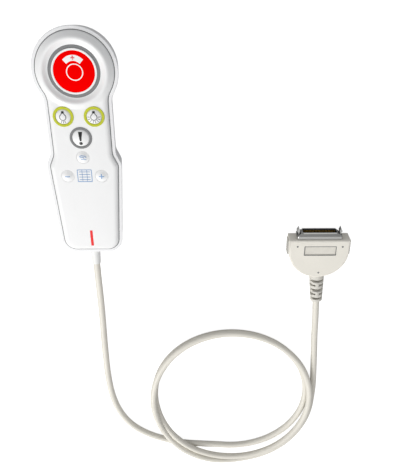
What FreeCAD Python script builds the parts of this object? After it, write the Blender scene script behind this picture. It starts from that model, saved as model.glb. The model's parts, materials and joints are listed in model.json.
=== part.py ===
import FreeCAD, Part
import math
import os

# Patient handset with a call button, on a flexible cord that ends in a D-shaped plug.
# Millimetres. +X right, +Y towards the head of the handset, +Z out of its face.
# The origin is the middle of the handset's back, on the surface that it lies on.

V = FreeCAD.Vector

# ---------------------------------------------------------------- driving dimensions
# Handset casing, measured at the outside of the rear housing's rim
LENGTH = 186.0            # head to cord end
HEAD_RING = 13.2          # width of the round head outside the call button's bezel
NECK_HALF = 26.0          # half width beside the light buttons
SHOULDER_HALF = 30.2      # half width where the lower body is widest
BOTTOM_HALF = 25.3        # half width at the cord end
NECK_BLEND = 14.0         # hollow arc between head and neck
SHOULDER_LOW = 79.5       # distance of its lower corner from the cord end
SHOULDER_RISE = 9.0       # length of the sloping part above the lower corner
SHOULDER_BLEND = 9.0      # radius of both shoulder corners
CORNER_R = 13.0           # corners at the cord end
THICKNESS = 24.0          # back to face
RIM_DROP = 2.5            # how far the rim lies below the face
DRAFT = 3.0               # how much narrower the back is, each side
BACK_EDGE = 5.0           # rounding of the back edge
LIP = 3.2                 # width of the rim that shows round the cover
SEAM = 0.25               # gap between rim and cover
WALL = 2.4                # rear housing wall
COVER_WALL = 2.2          # front cover wall
SOFT_EDGE = 4.0           # width of the cover's soft edge
LEDGE_DEPTH = 4.5         # rim top down to the ledge that carries the cover
LEDGE_WIDTH = 2.0
SEAL_T = 1.0

# Buttons and keys
CALL_R = 15.4             # red disc
CALL_RING_R = 16.9        # white light ring round it
CALL_BEZEL_R = 19.4       # dark bezel
CALL_TRAVEL = 1.0
BEZEL_GAP = 0.2           # bezel to the foot of the guard
GUARD_CREST_OUT = 4.6     # bezel to the crest of the raised guard round the call button
GUARD_FOOT_OUT = 8.8      # bezel to the guard's outer foot
GUARD_H = 2.2
GUARD_SUNK = 0.6          # how far the guard's foot lies below the face
LIGHT_X = 11.8
LIGHT_FROM_GUARD = 5.7    # guard's outer foot to the row of the light buttons
LIGHT_RING_R = 7.9
LIGHT_R = 5.8
ALERT_FROM_LIGHTS = 16.9  # row to row
ALERT_RING_R = 8.6
ALERT_R = 6.7
SELECT_FROM_ALERT = 16.0
VOLUME_X = 13.5
VOLUME_FROM_SELECT = 15.7
RING_FLANGE = 0.8         # how far a trim ring reaches behind the cover
KEY_FLANGE = 1.1          # how far a key reaches behind the cover
FLANGE_T = 0.9
STEM_R = 2.4
RING_PROUD = 0.5          # trim ring above the face
LIGHT_DOME_MORE = 0.3     # light and alert buttons stand out more than the keys
KEY_R = 5.0
KEY_TRAVEL = 0.8
DOME_H = 1.6              # how far keys stand out of the face
CALL_PROUD = 0.2          # edge of the red cap above the face
CALL_DOME_H = 0.6

# Running clearances
SLIDE_GAP = 0.15          # button to the ring it slides in
FIT_GAP = 0.05            # fixed piece in its seat
LAYER_GAP = 0.1           # between stacked pieces

# Electronics
BOARD_DEPTH = 10.6        # face down to the board's underside
BOARD_T = 1.6
BOARD_INSET = 8.5
BOARD_END = 27.0          # distance of the board's lower edge from the cord end
MAT_T = 1.2
MAT_DOME_H = 1.8
MAT_DOME_R = 3.6
MAT_MARGIN = 6.0
SNAP_R = 3.0
SNAP_T = 0.3
LAMP_CIRCLE_R = 11.5      # indicator lamps under the call button's light ring
CHIP_SIDE = 10.0
CHIP_T = 1.7
CHIP_FROM_EDGE = 20.0     # board's lower edge to the controller chip
SWITCH_SIDE = 6.0
SWITCH_H = 3.4
PLUNGER_R = 1.75
PLUNGER_H = 0.9
SPRING_R = 7.0
SPRING_WIRE_R = 0.4
SPRING_TURNS = 3.0
SPRING_SIDES = 14         # runs of wire in each turn

# Screws
SCREW_R = 1.2
SCREW_HEAD_R = 2.5
SCREW_HEAD_H = 2.4
SCREW_SUNK = 0.6          # how deep the heads lie below the back
PILLAR_R = 3.8
POST_R = 2.8
SCREW_BITE = 5.5          # screw length in the cover's posts
SHOULDER_SCREW_IN = 9.7   # shoulder's edge to the screw beside it
BOTTOM_SCREW_IN = 9.8     # lower edge's half width less the screw's place
BOTTOM_SCREW_UP = 11.0    # cord end to the lowest screws
BOARD_SCREW_IN = 0.4
SIDE_SCREW_OUT = 8.9      # alert ring to the board screws beside it
LOW_SCREW_X = 12.0
LOW_SCREW_UP = 43.0       # cord end to the lowest board screws
BOARD_SCREW_R = 1.0
BOARD_SCREW_HEAD_R = 2.0
BOARD_SCREW_HEAD_H = 1.5
BOARD_POST_R = 2.2

# Cord
CORD_R = 3.1
CORD_Z = 12.0             # height of the cord's axis in the handset
CLAMP_HALF = 10.5
CLAMP_LONG = 7.0
CLAMP_FROM_END = 12.0     # cord end of the handset to the clamp's near face
BOOT_LONG = 17.0          # part of the handset's boot outside the housing
BOOT_ROOT_R = 4.5
BOOT_TIP_R = 3.75
BOOT_FLANGE_R = 5.2
BOOT_FLANGE_T = 1.5
BEND_FROM_END = 29.0      # handset to the first bend of the cord
CORD_END_OUT = 3.0        # how far the cord's fixed end reaches out of the handset, inside its boot

# Plug: the origin of its own sizes is the middle of its mating face
PLUG_X = 195.8
PLUG_Y = -86.0
HOOD_HALF = 26.6          # half width at the mating face
HOOD_LONG = 37.0
HOOD_T = 16.0
HOOD_STRAIGHT = 12.0      # straight sides before the round end
HOOD_WALL = 2.2
HOOD_SCREW_SHORT = 5.6    # hood's thickness less the length of its screws
HOOD_EDGE = 1.6
LABEL_X = (-13.1, 14.4)   # recess for a label in the hood's front
LABEL_Y = (-14.4, -5.8)
LABEL_DEEP = 0.6
DIMPLES = ((-19.3, -5.8), (19.9, -6.0), (0.8, -32.0))
DIMPLE_R = 0.7
DIMPLE_DEEP = 1.0
CORD_TILT = 3.5           # degrees that the plug's boot leans
TILT_FROM = 20.0          # distance of the lean's centre from the mating face
PLUG_BOOT_LONG = 28.0
PLUG_BOOT_ROOT_R = 6.6
PLUG_BOOT_TIP_R = 5.4
PLUG_BOOT_RINGS = 5       # rows of slots
SLOT_FROM_HOOD = 5.2      # hood to the middle of the first row
SLOT_PITCH = 4.8
SLOT_W = 1.8
SLOT_CUT = 1.7            # depth
SLOT_BRIDGE = 3.2         # width of the bridges across the slots
PLUG_CLAMP_FROM_END = 8.5  # round end of the hood to its cord clamp
PLUG_CLAMP_LONG = 6.0
PLUG_CORD_END = 66.0       # mating face to the joint of the free cord, inside the boot's mouth
SHELL_HALF = 15.8
SHELL_TALL = 9.0
SHELL_OUT = 6.0
SHELL_WALL = 0.6
FLANGE_HALF = 19.6
FLANGE_TALL = 11.6
FLANGE_OUT = 2.8
FLARE_IN = 0.8            # flange's edge to the flare that joins it to the shell
FLARE_BELOW_MOUTH = 1.0
SLOT_HALF = 14.3
SLOT_TALL = 5.2
SLOT_DEEP = 5.0
CONTACT_PITCH = 1.27
CONTACTS_PER_ROW = 22
CONTACT_PROUD = 0.4       # how far a contact stands into the slot
LATCH_X = 18.2            # middle of the latch arm
LATCH_T = 1.2
LATCH_TALL = 5.0
LATCH_BACK = 21.0         # mating face to the latch pin
LATCH_OUT = 9.6           # mating face to the hook's point
LATCH_PIN_R = 1.0
PAD_LONG = 13.4
PAD_TALL = 9.6
PAD_PROUD = 0.9

# ---------------------------------------------------------------- worked-out levels and places
RIM_Z = THICKNESS - RIM_DROP
LEDGE_Z = RIM_Z - LEDGE_DEPTH
SKIRT_Z = LEDGE_Z + SEAL_T
UNDER_Z = THICKNESS - COVER_WALL
BOARD_Z = THICKNESS - BOARD_DEPTH
BOARD_TOP = BOARD_Z + BOARD_T
MAT_TOP = BOARD_TOP + MAT_T
DOME_TOP = MAT_TOP + MAT_DOME_H
STEM_Z = DOME_TOP + KEY_TRAVEL + SLIDE_GAP
CALL_STEM_Z = BOARD_TOP + SWITCH_H + PLUNGER_H + CALL_TRAVEL + SLIDE_GAP
FRONT_Y = LENGTH / 2.0
END_Y = -LENGTH / 2.0
HEAD_R = CALL_BEZEL_R + HEAD_RING
HEAD_Y = FRONT_Y - HEAD_R
GUARD_CREST_R = CALL_BEZEL_R + GUARD_CREST_OUT
GUARD_FOOT_R = CALL_BEZEL_R + GUARD_FOOT_OUT
LIGHT_Y = HEAD_Y - GUARD_FOOT_R - LIGHT_FROM_GUARD
ALERT_Y = LIGHT_Y - ALERT_FROM_LIGHTS
SELECT_Y = ALERT_Y - SELECT_FROM_ALERT
VOLUME_Y = SELECT_Y - VOLUME_FROM_SELECT
SHOULDER_Y = END_Y + SHOULDER_LOW
CLAMP_Y = END_Y + CLAMP_FROM_END
PLUG_Z = HOOD_T / 2.0

LIGHT_PLACES = {"reading_light": (-LIGHT_X, LIGHT_Y), "room_light": (LIGHT_X, LIGHT_Y)}
ALERT_PLACE = (0.0, ALERT_Y)
KEY_PLACES = {"select_key": (0.0, SELECT_Y),
              "volume_down_key": (-VOLUME_X, VOLUME_Y),
              "volume_up_key": (VOLUME_X, VOLUME_Y)}
MAT_KEYS = list(LIGHT_PLACES.values()) + [ALERT_PLACE] + list(KEY_PLACES.values())

HEAD_SCREW_R = (CALL_BEZEL_R + HEAD_R - LIP) / 2.0
HEAD_SCREW_ANGLE = math.radians(50.0)
CASE_SCREWS = [(side * x, y) for side in (-1, 1) for x, y in (
    (HEAD_SCREW_R * math.cos(HEAD_SCREW_ANGLE), HEAD_Y + HEAD_SCREW_R * math.sin(HEAD_SCREW_ANGLE)),
    (SHOULDER_HALF - SHOULDER_SCREW_IN, SHOULDER_Y - 1.0),
    (BOTTOM_HALF - BOTTOM_SCREW_IN, END_Y + BOTTOM_SCREW_UP))]
BOARD_SCREWS = [(0.0, HEAD_Y + HEAD_SCREW_R - BOARD_SCREW_IN)] + [
    (side * x, y) for side in (-1, 1) for x, y in (
        (ALERT_RING_R + SIDE_SCREW_OUT, ALERT_Y - 1.7), (LOW_SCREW_X, END_Y + LOW_SCREW_UP))]

# Routes of the cord's axis. The coil between them lies in a solid of its own.
LEAD_POINTS = [(0.0, END_Y - CORD_END_OUT, CORD_Z), (0.0, END_Y - BEND_FROM_END, CORD_Z), (-0.8, -148.0, 6.6), (-1.6, -174.0, 3.1),
               (-2.2, -211.0, 3.1), (-2.0, -245.0, 3.1), (0.4, -272.0, 3.1), (6.6, -294.0, 3.1),
               (18.0, -312.5, 3.1), (34.5, -325.5, 3.1), (53.0, -333.5, 3.1), (72.0, -338.8, 3.1)]
TAIL_POINTS = [(205.3, -262.0, 3.1), (204.1, -238.0, 3.1), (202.7, -214.0, 3.1),
               (201.3, -193.0, 3.1), (199.8, -172.0, 8.0), (198.6, -152.0, 8.0)]
COIL_CENTRE = (123.4, -275.9)
COIL_RADII = (85.7, 93.7)
COIL_HOLE_CENTRE = (121.2, -268.2)
COIL_HOLE_RADII = (74.2, 72.0)
COIL_LAYERS = 2


# ---------------------------------------------------------------- small shape helpers
def cylinder(x, y, low, high, radius):
    return Part.makeCylinder(radius, high - low, V(x, y, low))


def washer(x, y, low, high, outer, inner):
    return cylinder(x, y, low, high, outer).cut(cylinder(x, y, low - 1, high + 1, inner))


def block(x0, x1, y0, y1, z0, z1):
    return Part.makeBox(x1 - x0, y1 - y0, z1 - z0, V(x0, y0, z0))


def joined(shapes):
    whole = shapes[0]
    for shape in shapes[1:]:
        whole = whole.fuse(shape)
    return whole.removeSplitter()


def without(shape, cutters):
    return shape.cut(Part.makeCompound(cutters))


def save(name, shape):
    """Write one node; a list is a group of separate solids."""
    solids = shape if isinstance(shape, list) else shape.Solids
    whole = solids[0] if len(solids) == 1 else Part.makeCompound(solids)
    whole.exportStep(f"parts/{name}.step")
    volume = sum(solid.Volume for solid in solids)
    print(f"{name}: {len(solids)} solid(s), {volume:.1f} mm3, valid {whole.isValid()}")


def spun(outline_points, origin, axis, start):
    """Turn a closed polygon of (radius, distance) about an axis through origin."""
    axis = V(*axis)
    start = V(*start)
    origin = V(*origin)
    corners = [origin + start * radius + axis * along for radius, along in outline_points]
    wire = Part.makePolygon(corners + [corners[0]])
    return Part.Face(wire).revolve(origin, axis, 360)


def dome_cap(x, y, base_z, radius, height):
    """Spherical cap of the given height on a circle of the given radius."""
    ball_r = (radius ** 2 + height ** 2) / (2 * height)
    ball = Part.makeSphere(ball_r, V(x, y, base_z + height - ball_r))
    return ball.common(cylinder(x, y, base_z, base_z + height + 1, radius))


def ellipse(centre, half_x, half_y):
    """Ellipse in the XY plane, whichever of its radii is the larger."""
    on_x, on_y = centre + V(half_x, 0, 0), centre + V(0, half_y, 0)
    return Part.Ellipse(on_x, on_y, centre) if half_x >= half_y else Part.Ellipse(on_y, on_x, centre)


# ---------------------------------------------------------------- handset outline
def rounded_chain(corners, radii, inset):
    """Inset a chain of straight lines and round its inner corners.

    The inside of the outline lies to the right of the chain, seen from above while
    walking down the handset's right side. A radius is negative at a hollow corner.
    """
    directions = [(V(*b) - V(*a)).normalize() for a, b in zip(corners, corners[1:])]
    normals = [V(d.y, -d.x, 0) for d in directions]
    parts = []
    last = V(*corners[0]) + normals[0] * inset
    for index, radius in enumerate(radii):
        n0, n1 = normals[index], normals[index + 1]
        corner = V(*corners[index + 1]) + (n0 + n1) * (inset / (1 + n0.dot(n1)))
        half_turn = directions[index].getAngle(directions[index + 1]) / 2
        arc_r = abs(radius) - inset if radius > 0 else abs(radius) + inset
        reach = arc_r * math.tan(half_turn)
        first = corner - directions[index] * reach
        second = corner + directions[index + 1] * reach
        towards = (first + second) * 0.5 - corner
        middle = corner + towards.normalize() * (arc_r / math.cos(half_turn) - arc_r)
        parts.append((last, first))
        parts.append((first, middle, second))
        last = second
    parts.append((last, V(*corners[-1]) + normals[-1] * inset))
    return parts


def outline(inset, z):
    """Closed wire of the handset's outline, a distance inside the rim, at a height."""
    head = V(0, HEAD_Y, 0)
    head_r = HEAD_R - inset
    blend_x = NECK_HALF + NECK_BLEND
    blend = V(blend_x, HEAD_Y - math.sqrt((HEAD_R + NECK_BLEND) ** 2 - blend_x ** 2), 0)
    blend_r = NECK_BLEND + inset
    to_blend = (blend - head).normalize()
    touch = head + to_blend * head_r
    half_way = math.radians(90) - (math.radians(90) - math.atan2(to_blend.y, to_blend.x)) / 2
    head_mid = head + V(math.cos(half_way), math.sin(half_way), 0) * head_r
    neck = V(NECK_HALF - inset, blend.y, 0)
    blend_mid = blend + ((touch - blend).normalize() + V(-1, 0, 0)).normalize() * blend_r
    right = [(V(0, HEAD_Y + head_r, 0), head_mid, touch), (touch, blend_mid, neck)]
    corners = [(NECK_HALF, blend.y, 0), (NECK_HALF, SHOULDER_Y + SHOULDER_RISE, 0),
               (SHOULDER_HALF, SHOULDER_Y, 0), (BOTTOM_HALF, END_Y, 0), (0, END_Y, 0)]
    right += rounded_chain(corners, (-SHOULDER_BLEND, SHOULDER_BLEND, CORNER_R), inset)
    left = [tuple(V(-p.x, p.y, 0) for p in reversed(part)) for part in reversed(right)]
    edges = []
    for part in right + left:
        lifted = [p + V(0, 0, z) for p in part]
        edges.append(Part.LineSegment(*lifted).toShape() if len(part) == 2 else Part.Arc(*lifted).toShape())
    return Part.Wire(edges)


def stack(levels):
    """Solid through a list of (height, inset) outlines."""
    return Part.makeLoft([outline(inset, z) for z, inset in levels], True, True)


def plate(inset, low, high):
    return stack([(low, inset), (high, inset)])


def back_inset(z):
    """Inset of the drafted wall at a height."""
    return DRAFT * (RIM_Z - z) / RIM_Z


# ---------------------------------------------------------------- casing
EDGE_STEPS = 4


def rear_housing():
    levels = []
    for step in range(EDGE_STEPS + 1):
        angle = math.radians(90.0 * step / EDGE_STEPS)
        z = BACK_EDGE * (1 - math.cos(angle))
        levels.append((z, back_inset(z) + BACK_EDGE * (1 - math.sin(angle))))
    rim_round = 0.7
    levels += [(RIM_Z - rim_round, back_inset(RIM_Z - rim_round)), (RIM_Z, rim_round)]
    body = stack(levels)
    slope_z = LEDGE_Z - 2 * LEDGE_WIDTH
    ledge_inset = LIP + LEDGE_WIDTH
    hollow = stack([(WALL, back_inset(WALL) + WALL + BACK_EDGE / 4),
                    (WALL + BACK_EDGE / 2, back_inset(WALL + BACK_EDGE / 2) + WALL),
                    (slope_z, back_inset(slope_z) + WALL),
                    (LEDGE_Z - LEDGE_WIDTH, ledge_inset), (LEDGE_Z, ledge_inset)])
    pocket = plate(LIP - SEAM, LEDGE_Z, RIM_Z + 1)
    body = body.cut(hollow).cut(pocket)
    pillar_top = BOARD_Z - 1.0
    pillars = [cylinder(x, y, WALL / 2, pillar_top, PILLAR_R) for x, y in CASE_SCREWS]
    saddle = block(-CLAMP_HALF, CLAMP_HALF, CLAMP_Y, CLAMP_Y + CLAMP_LONG, WALL / 2, CORD_Z)
    body = joined([body] + pillars + [saddle])
    cuts = [cylinder(x, y, -1, pillar_top + 1, SCREW_R + 0.3) for x, y in CASE_SCREWS]
    cuts += [cylinder(x, y, -1, SCREW_SUNK + SCREW_HEAD_H, SCREW_HEAD_R + 0.2) for x, y in CASE_SCREWS]
    cuts += [cylinder(x, y, WALL + 2, CORD_Z + 1, SCREW_R + FIT_GAP) for x, y in clamp_screw_places()]
    cuts.append(cord_cylinder(END_Y - 5, CLAMP_Y + CLAMP_LONG + 1, CORD_R + FIT_GAP))
    cuts.append(cord_cylinder(END_Y - 5, CLAMP_Y - BOOT_FLANGE_T, boot_neck_r() + FIT_GAP))
    return without(body, cuts)


def guard_ring():
    """Raised ring round the call button, one piece with the cover."""
    foot_z = THICKNESS - GUARD_SUNK
    start = V(CALL_BEZEL_R + BEZEL_GAP, 0, foot_z)
    crest = V(GUARD_CREST_R, 0, THICKNESS + GUARD_H)
    end = V(GUARD_FOOT_R, 0, foot_z)
    wire = Part.Wire([Part.Arc(start, crest, end).toShape(), Part.LineSegment(end, start).toShape()])
    ring = Part.Face(wire).revolve(V(0, 0, 0), V(0, 0, 1), 360)
    ring.translate(V(0, HEAD_Y, 0))
    return ring


def front_cover():
    visible_z = RIM_Z - 0.3
    levels = [(SKIRT_Z, LIP), (visible_z, LIP)]
    for step in range(1, EDGE_STEPS + 1):
        angle = math.radians(90.0 * step / EDGE_STEPS)
        levels.append((visible_z + (THICKNESS - visible_z) * math.sin(angle),
                       LIP + SOFT_EDGE * (1 - math.cos(angle))))
    cover = stack(levels).cut(plate(LIP + COVER_WALL - 0.4, SKIRT_Z - 1, UNDER_Z))
    top = UNDER_Z + COVER_WALL / 2
    posts = [cylinder(x, y, BOARD_Z - 0.9, top, POST_R) for x, y in CASE_SCREWS]
    posts += [cylinder(x, y, BOARD_TOP, top, BOARD_POST_R) for x, y in BOARD_SCREWS]
    cover = joined([cover, guard_ring()] + posts)
    high = THICKNESS + GUARD_H + 1
    low = UNDER_Z - 0.01
    cuts = [cylinder(0, HEAD_Y, low, high, CALL_BEZEL_R + FIT_GAP)]
    cuts += [cylinder(x, y, low, high, LIGHT_RING_R + FIT_GAP) for x, y in LIGHT_PLACES.values()]
    cuts.append(cylinder(*ALERT_PLACE, low, high, ALERT_RING_R + FIT_GAP))
    cuts += [cylinder(x, y, low, high, KEY_R + SLIDE_GAP) for x, y in KEY_PLACES.values()]
    cuts += [cylinder(x, y, 0, BOARD_Z + SCREW_BITE, SCREW_R + FIT_GAP) for x, y in CASE_SCREWS]
    cuts += [cylinder(x, y, 0, BOARD_TOP + 5, BOARD_SCREW_R + FIT_GAP) for x, y in BOARD_SCREWS]
    return without(cover, cuts)


def housing_seal():
    low, high = LEDGE_Z + FIT_GAP / 2, SKIRT_Z - FIT_GAP / 2
    return plate(LIP + 0.2, low, high).cut(plate(LIP + LEDGE_WIDTH - 0.3, low - 1, high + 1))


# ---------------------------------------------------------------- buttons and keys
def trim_ring(x, y, outer, inner):
    """Fixed ring in the cover, held from behind by a flange."""
    shank = washer(x, y, UNDER_Z - LAYER_GAP, THICKNESS + RING_PROUD, outer, inner)
    flange = washer(x, y, UNDER_Z - FLANGE_T, UNDER_Z - FIT_GAP, outer + RING_FLANGE, inner)
    return joined([shank, flange])


def key(x, y, radius, flange_top, dome_h):
    """Moving key: stem, flange behind the cover and a domed head."""
    flange = cylinder(x, y, flange_top - FLANGE_T, flange_top, radius + KEY_FLANGE)
    stem = cylinder(x, y, STEM_Z, flange_top, STEM_R)
    head = cylinder(x, y, flange_top - 0.5, THICKNESS, radius)
    return joined([flange, stem, head, dome_cap(x, y, THICKNESS - 0.001, radius, dome_h)])


def call_parts():
    """Red cap, white light ring that carries it, and the fixed dark bezel."""
    cap_r = CALL_R - FIT_GAP
    plate_low = UNDER_Z - 0.8
    plate_high = UNDER_Z + FIT_GAP
    cap_z = THICKNESS + CALL_PROUD
    cap = cylinder(0, HEAD_Y, plate_high + FIT_GAP, cap_z, cap_r)
    cap = joined([cap, dome_cap(0, HEAD_Y, cap_z - 0.001, cap_r, CALL_DOME_H),
                  cylinder(0, HEAD_Y, CALL_STEM_Z, plate_high + 1, STEM_R)])
    flange_r = CALL_RING_R + 1.5
    ring = joined([
        washer(0, HEAD_Y, plate_low - 1.1, THICKNESS + 0.4, CALL_RING_R, CALL_R),
        washer(0, HEAD_Y, plate_low - 1.1, plate_low - 0.2, flange_r, CALL_R - 2),
        washer(0, HEAD_Y, plate_low, plate_high, CALL_R + 0.5, STEM_R + FIT_GAP),
        washer(0, HEAD_Y, plate_low - 1.1, plate_low + 0.1, CALL_R, CALL_R - 2)])
    bezel = joined([
        washer(0, HEAD_Y, UNDER_Z - 0.1, THICKNESS - 0.2, CALL_BEZEL_R, CALL_RING_R + SLIDE_GAP),
        washer(0, HEAD_Y, UNDER_Z - 0.9, UNDER_Z - FIT_GAP, CALL_BEZEL_R + 1.2, CALL_RING_R + SLIDE_GAP)])
    return cap, ring, bezel


def call_spring():
    """Compression spring between the board and the light ring's plate."""
    low = BOARD_TOP + FIT_GAP + SPRING_WIRE_R
    high = UNDER_Z - 0.8 - FIT_GAP - SPRING_WIRE_R
    steps = int(SPRING_TURNS * SPRING_SIDES)
    points = []
    for step in range(steps + 1):
        angle = 2 * math.pi * step / SPRING_SIDES
        points.append((SPRING_R * math.cos(angle), HEAD_Y + SPRING_R * math.sin(angle),
                       low + (high - low) * step / steps))
    return smooth_tube(points, SPRING_WIRE_R, "call_spring")


# ---------------------------------------------------------------- electronics in the handset
def circuit_board():
    board = plate(BOARD_INSET, BOARD_Z, BOARD_TOP)
    cuts = [block(-100, 100, END_Y - 1, END_Y + BOARD_END, 0, THICKNESS)]
    cuts += [cylinder(x, y, 0, THICKNESS, POST_R + 0.5) for x, y in CASE_SCREWS]
    cuts += [cylinder(x, y, 0, THICKNESS, BOARD_SCREW_R + 0.3) for x, y in BOARD_SCREWS]
    return without(board, cuts)


def keypad_mat():
    """Silicone mat with one soft dome under each key."""
    half = NECK_HALF - BOARD_INSET + 1.0
    top_y = LIGHT_Y + LIGHT_RING_R + 2
    low_y = VOLUME_Y - KEY_R - MAT_MARGIN
    mat = block(-half, half, low_y, top_y, BOARD_TOP + 0.02, MAT_TOP)
    domes = []
    for x, y in MAT_KEYS:
        cone = Part.makeCone(MAT_DOME_R + 0.8, MAT_DOME_R - 0.8, DOME_TOP - MAT_TOP + 0.2, V(x, y, MAT_TOP - 0.2))
        domes.append(cone)
    mat = joined([mat] + domes)
    cuts = [cylinder(x, y, BOARD_TOP - 1, BOARD_TOP + SNAP_T + 0.5, SNAP_R + 0.2) for x, y in MAT_KEYS]
    cuts += [cylinder(x, y, 0, THICKNESS, POST_R + 0.4) for x, y in CASE_SCREWS]
    cuts += [cylinder(x, y, 0, THICKNESS, BOARD_POST_R + 0.4) for x, y in BOARD_SCREWS]
    return without(mat, cuts)


def snap_domes():
    return [dome_cap(x, y, BOARD_TOP + 0.01, SNAP_R, SNAP_T) for x, y in MAT_KEYS]


def call_switch():
    half = SWITCH_SIDE / 2
    body = block(-half, half, HEAD_Y - half, HEAD_Y + half, BOARD_TOP, BOARD_TOP + SWITCH_H)
    return joined([body, cylinder(0, HEAD_Y, BOARD_TOP + SWITCH_H - 0.5, BOARD_TOP + SWITCH_H + PLUNGER_H, PLUNGER_R)])


def indicator_lights():
    lamps = []
    for step in range(4):
        angle = math.radians(45 + 90 * step)
        x, y = LAMP_CIRCLE_R * math.cos(angle), HEAD_Y + LAMP_CIRCLE_R * math.sin(angle)
        lamps.append(block(x - 1.6, x + 1.6, y - 1.4, y + 1.4, BOARD_TOP, BOARD_TOP + 1.9))
    return lamps


def terminal_block():
    low_y = END_Y + BOARD_END + 1.5
    body = block(-9, 9, low_y, low_y + 7, BOARD_Z - 7, BOARD_Z)
    ways = [block(x - 0.8, x + 0.8, low_y - 1, low_y + 4, BOARD_Z - 5.4, BOARD_Z - 3.8) for x in wire_ways()]
    return without(body, ways)


def wire_ways():
    return [-7.0 + 2.0 * way for way in range(8)]


def controller_chip():
    low_y = END_Y + BOARD_END + CHIP_FROM_EDGE
    return block(-CHIP_SIDE / 2, CHIP_SIDE / 2, low_y, low_y + CHIP_SIDE, BOARD_Z - CHIP_T, BOARD_Z)


# ---------------------------------------------------------------- screws
def screw(x, y, head_z, length, radius, head_r, head_h):
    """Pan-head screw whose head lies below head_z and shank above it, with a cross slot."""
    head = cylinder(x, y, head_z - head_h, head_z, head_r)
    slots = [block(x - 1.3, x + 1.3, y - 0.3, y + 0.3, head_z - head_h - 1, head_z - head_h / 2),
             block(x - 0.3, x + 0.3, y - 1.3, y + 1.3, head_z - head_h - 1, head_z - head_h / 2)]
    return without(joined([head, cylinder(x, y, head_z - 0.2, head_z + length, radius)]), slots)


def clamp_screw_places():
    return [(side * (CORD_R + 4.2), CLAMP_Y + CLAMP_LONG / 2) for side in (-1, 1)]


# ---------------------------------------------------------------- cord in the handset
def cord_cylinder(low_y, high_y, radius):
    return Part.makeCylinder(radius, high_y - low_y, V(0, low_y, CORD_Z), V(0, 1, 0))


def boot_neck_r():
    return CORD_R + 0.9


def handset_boot():
    """Strain relief: a flange inside the wall, a neck through it and a taper outside."""
    wall_y = END_Y + back_inset(CORD_Z)
    inner_y = END_Y + LIP + LEDGE_WIDTH + 0.15
    bore = CORD_R + FIT_GAP
    tip_y = wall_y - BOOT_LONG
    shape = [(bore, tip_y), (BOOT_TIP_R, tip_y), (BOOT_ROOT_R, wall_y - 2.0), (BOOT_ROOT_R, wall_y - 0.6),
             (boot_neck_r(), wall_y - 0.6), (boot_neck_r(), inner_y), (BOOT_FLANGE_R, inner_y),
             (BOOT_FLANGE_R, inner_y + BOOT_FLANGE_T), (bore, inner_y + BOOT_FLANGE_T)]
    return spun(shape, (0, 0, CORD_Z), (0, 1, 0), (1, 0, 0))


def handset_clamp():
    strap = block(-CLAMP_HALF, CLAMP_HALF, CLAMP_Y, CLAMP_Y + CLAMP_LONG, CORD_Z + FIT_GAP, CORD_Z + CORD_R + 1.4)
    cuts = [cord_cylinder(CLAMP_Y - 1, CLAMP_Y + CLAMP_LONG + 1, CORD_R + FIT_GAP)]
    cuts += [cylinder(x, y, 0, THICKNESS, SCREW_R + 0.2) for x, y in clamp_screw_places()]
    return without(strap, cuts)


def clamp_screws():
    top = CORD_Z + CORD_R + 1.4 + FIT_GAP
    screws = []
    for x, y in clamp_screw_places():
        head = cylinder(x, y, top, top + 1.6, 2.2)
        screws.append(joined([head, cylinder(x, y, WALL + 3, top + 0.2, SCREW_R)]))
    return screws


def wires(ends):
    """Thin cores, each a straight run between two points."""
    return [Part.makeCylinder(0.45, (V(*b) - V(*a)).Length, V(*a), V(*b) - V(*a)) for a, b in ends]


def handset_wires():
    start_y = CLAMP_Y + CLAMP_LONG + 3.0
    end_y = END_Y + BOARD_END + 1.4
    count = len(wire_ways())
    ends = []
    for way, x in enumerate(wire_ways()):
        angle = 2 * math.pi * way / count
        start = (1.9 * math.cos(angle), start_y, CORD_Z + 1.9 * math.sin(angle))
        ends.append((start, (x, end_y, BOARD_Z - 4.6)))
    return wires(ends)


# ---------------------------------------------------------------- free cord
def smooth_tube(points, radius, name):
    """Straight runs joined by tangent arcs, as large as their runs allow, swept by a circle."""
    points = [V(*p) for p in points]
    edges = []
    last = points[0]
    radii = []
    length = 0.0
    for before, corner, after in zip(points, points[1:], points[2:]):
        way_in = (corner - before).normalize()
        way_out = (after - corner).normalize()
        half_turn = way_in.getAngle(way_out) / 2
        reach = 0.45 * min((corner - before).Length, (after - corner).Length)
        arc_r = reach / math.tan(half_turn)
        radii.append(arc_r)
        first = corner - way_in * reach
        second = corner + way_out * reach
        towards = ((first + second) * 0.5 - corner).normalize()
        middle = corner + towards * (arc_r / math.cos(half_turn) - arc_r)
        edges.append(Part.LineSegment(last, first).toShape())
        edges.append(Part.Arc(first, middle, second).toShape())
        last = second
    edges.append(Part.LineSegment(last, points[-1]).toShape())
    path = Part.Wire(edges)
    section = Part.Wire(Part.makeCircle(radius, points[0], points[1] - points[0]))
    tube = path.makePipeShell([section], True, False)
    expected = math.pi * radius ** 2 * path.Length
    print(f"{name}: length {path.Length:.1f}, radii {[round(r) for r in radii]}, "
          f"volume {tube.Volume:.0f} of {expected:.0f}")
    return tube


def oval(centre, radii, low, high):
    curve = ellipse(V(*centre, low), *radii)
    return Part.Face(Part.Wire(curve.toShape())).extrude(V(0, 0, high - low))


def cord_coil():
    """Closed solid of the outer shape of the cord's loose turns."""
    high = 2 * CORD_R * COIL_LAYERS
    ring = oval(COIL_CENTRE, COIL_RADII, 0, high)
    ring = ring.cut(oval(COIL_HOLE_CENTRE, COIL_HOLE_RADII, -1, high + 1))
    return ring.makeFillet(CORD_R * 0.6, ring.Edges)


# ---------------------------------------------------------------- plug
def at_plug(shape):
    """Move a shape from the plug's own origin to its place."""
    shape = shape.copy()
    shape.translate(V(PLUG_X, PLUG_Y, 0))
    return shape


def leaned(shape):
    """Turn a shape that lies along the cord's axis by the lean of the boot."""
    shape = shape.copy()
    shape.rotate(V(0, -TILT_FROM, PLUG_Z), V(0, 0, 1), CORD_TILT)
    return shape


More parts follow.
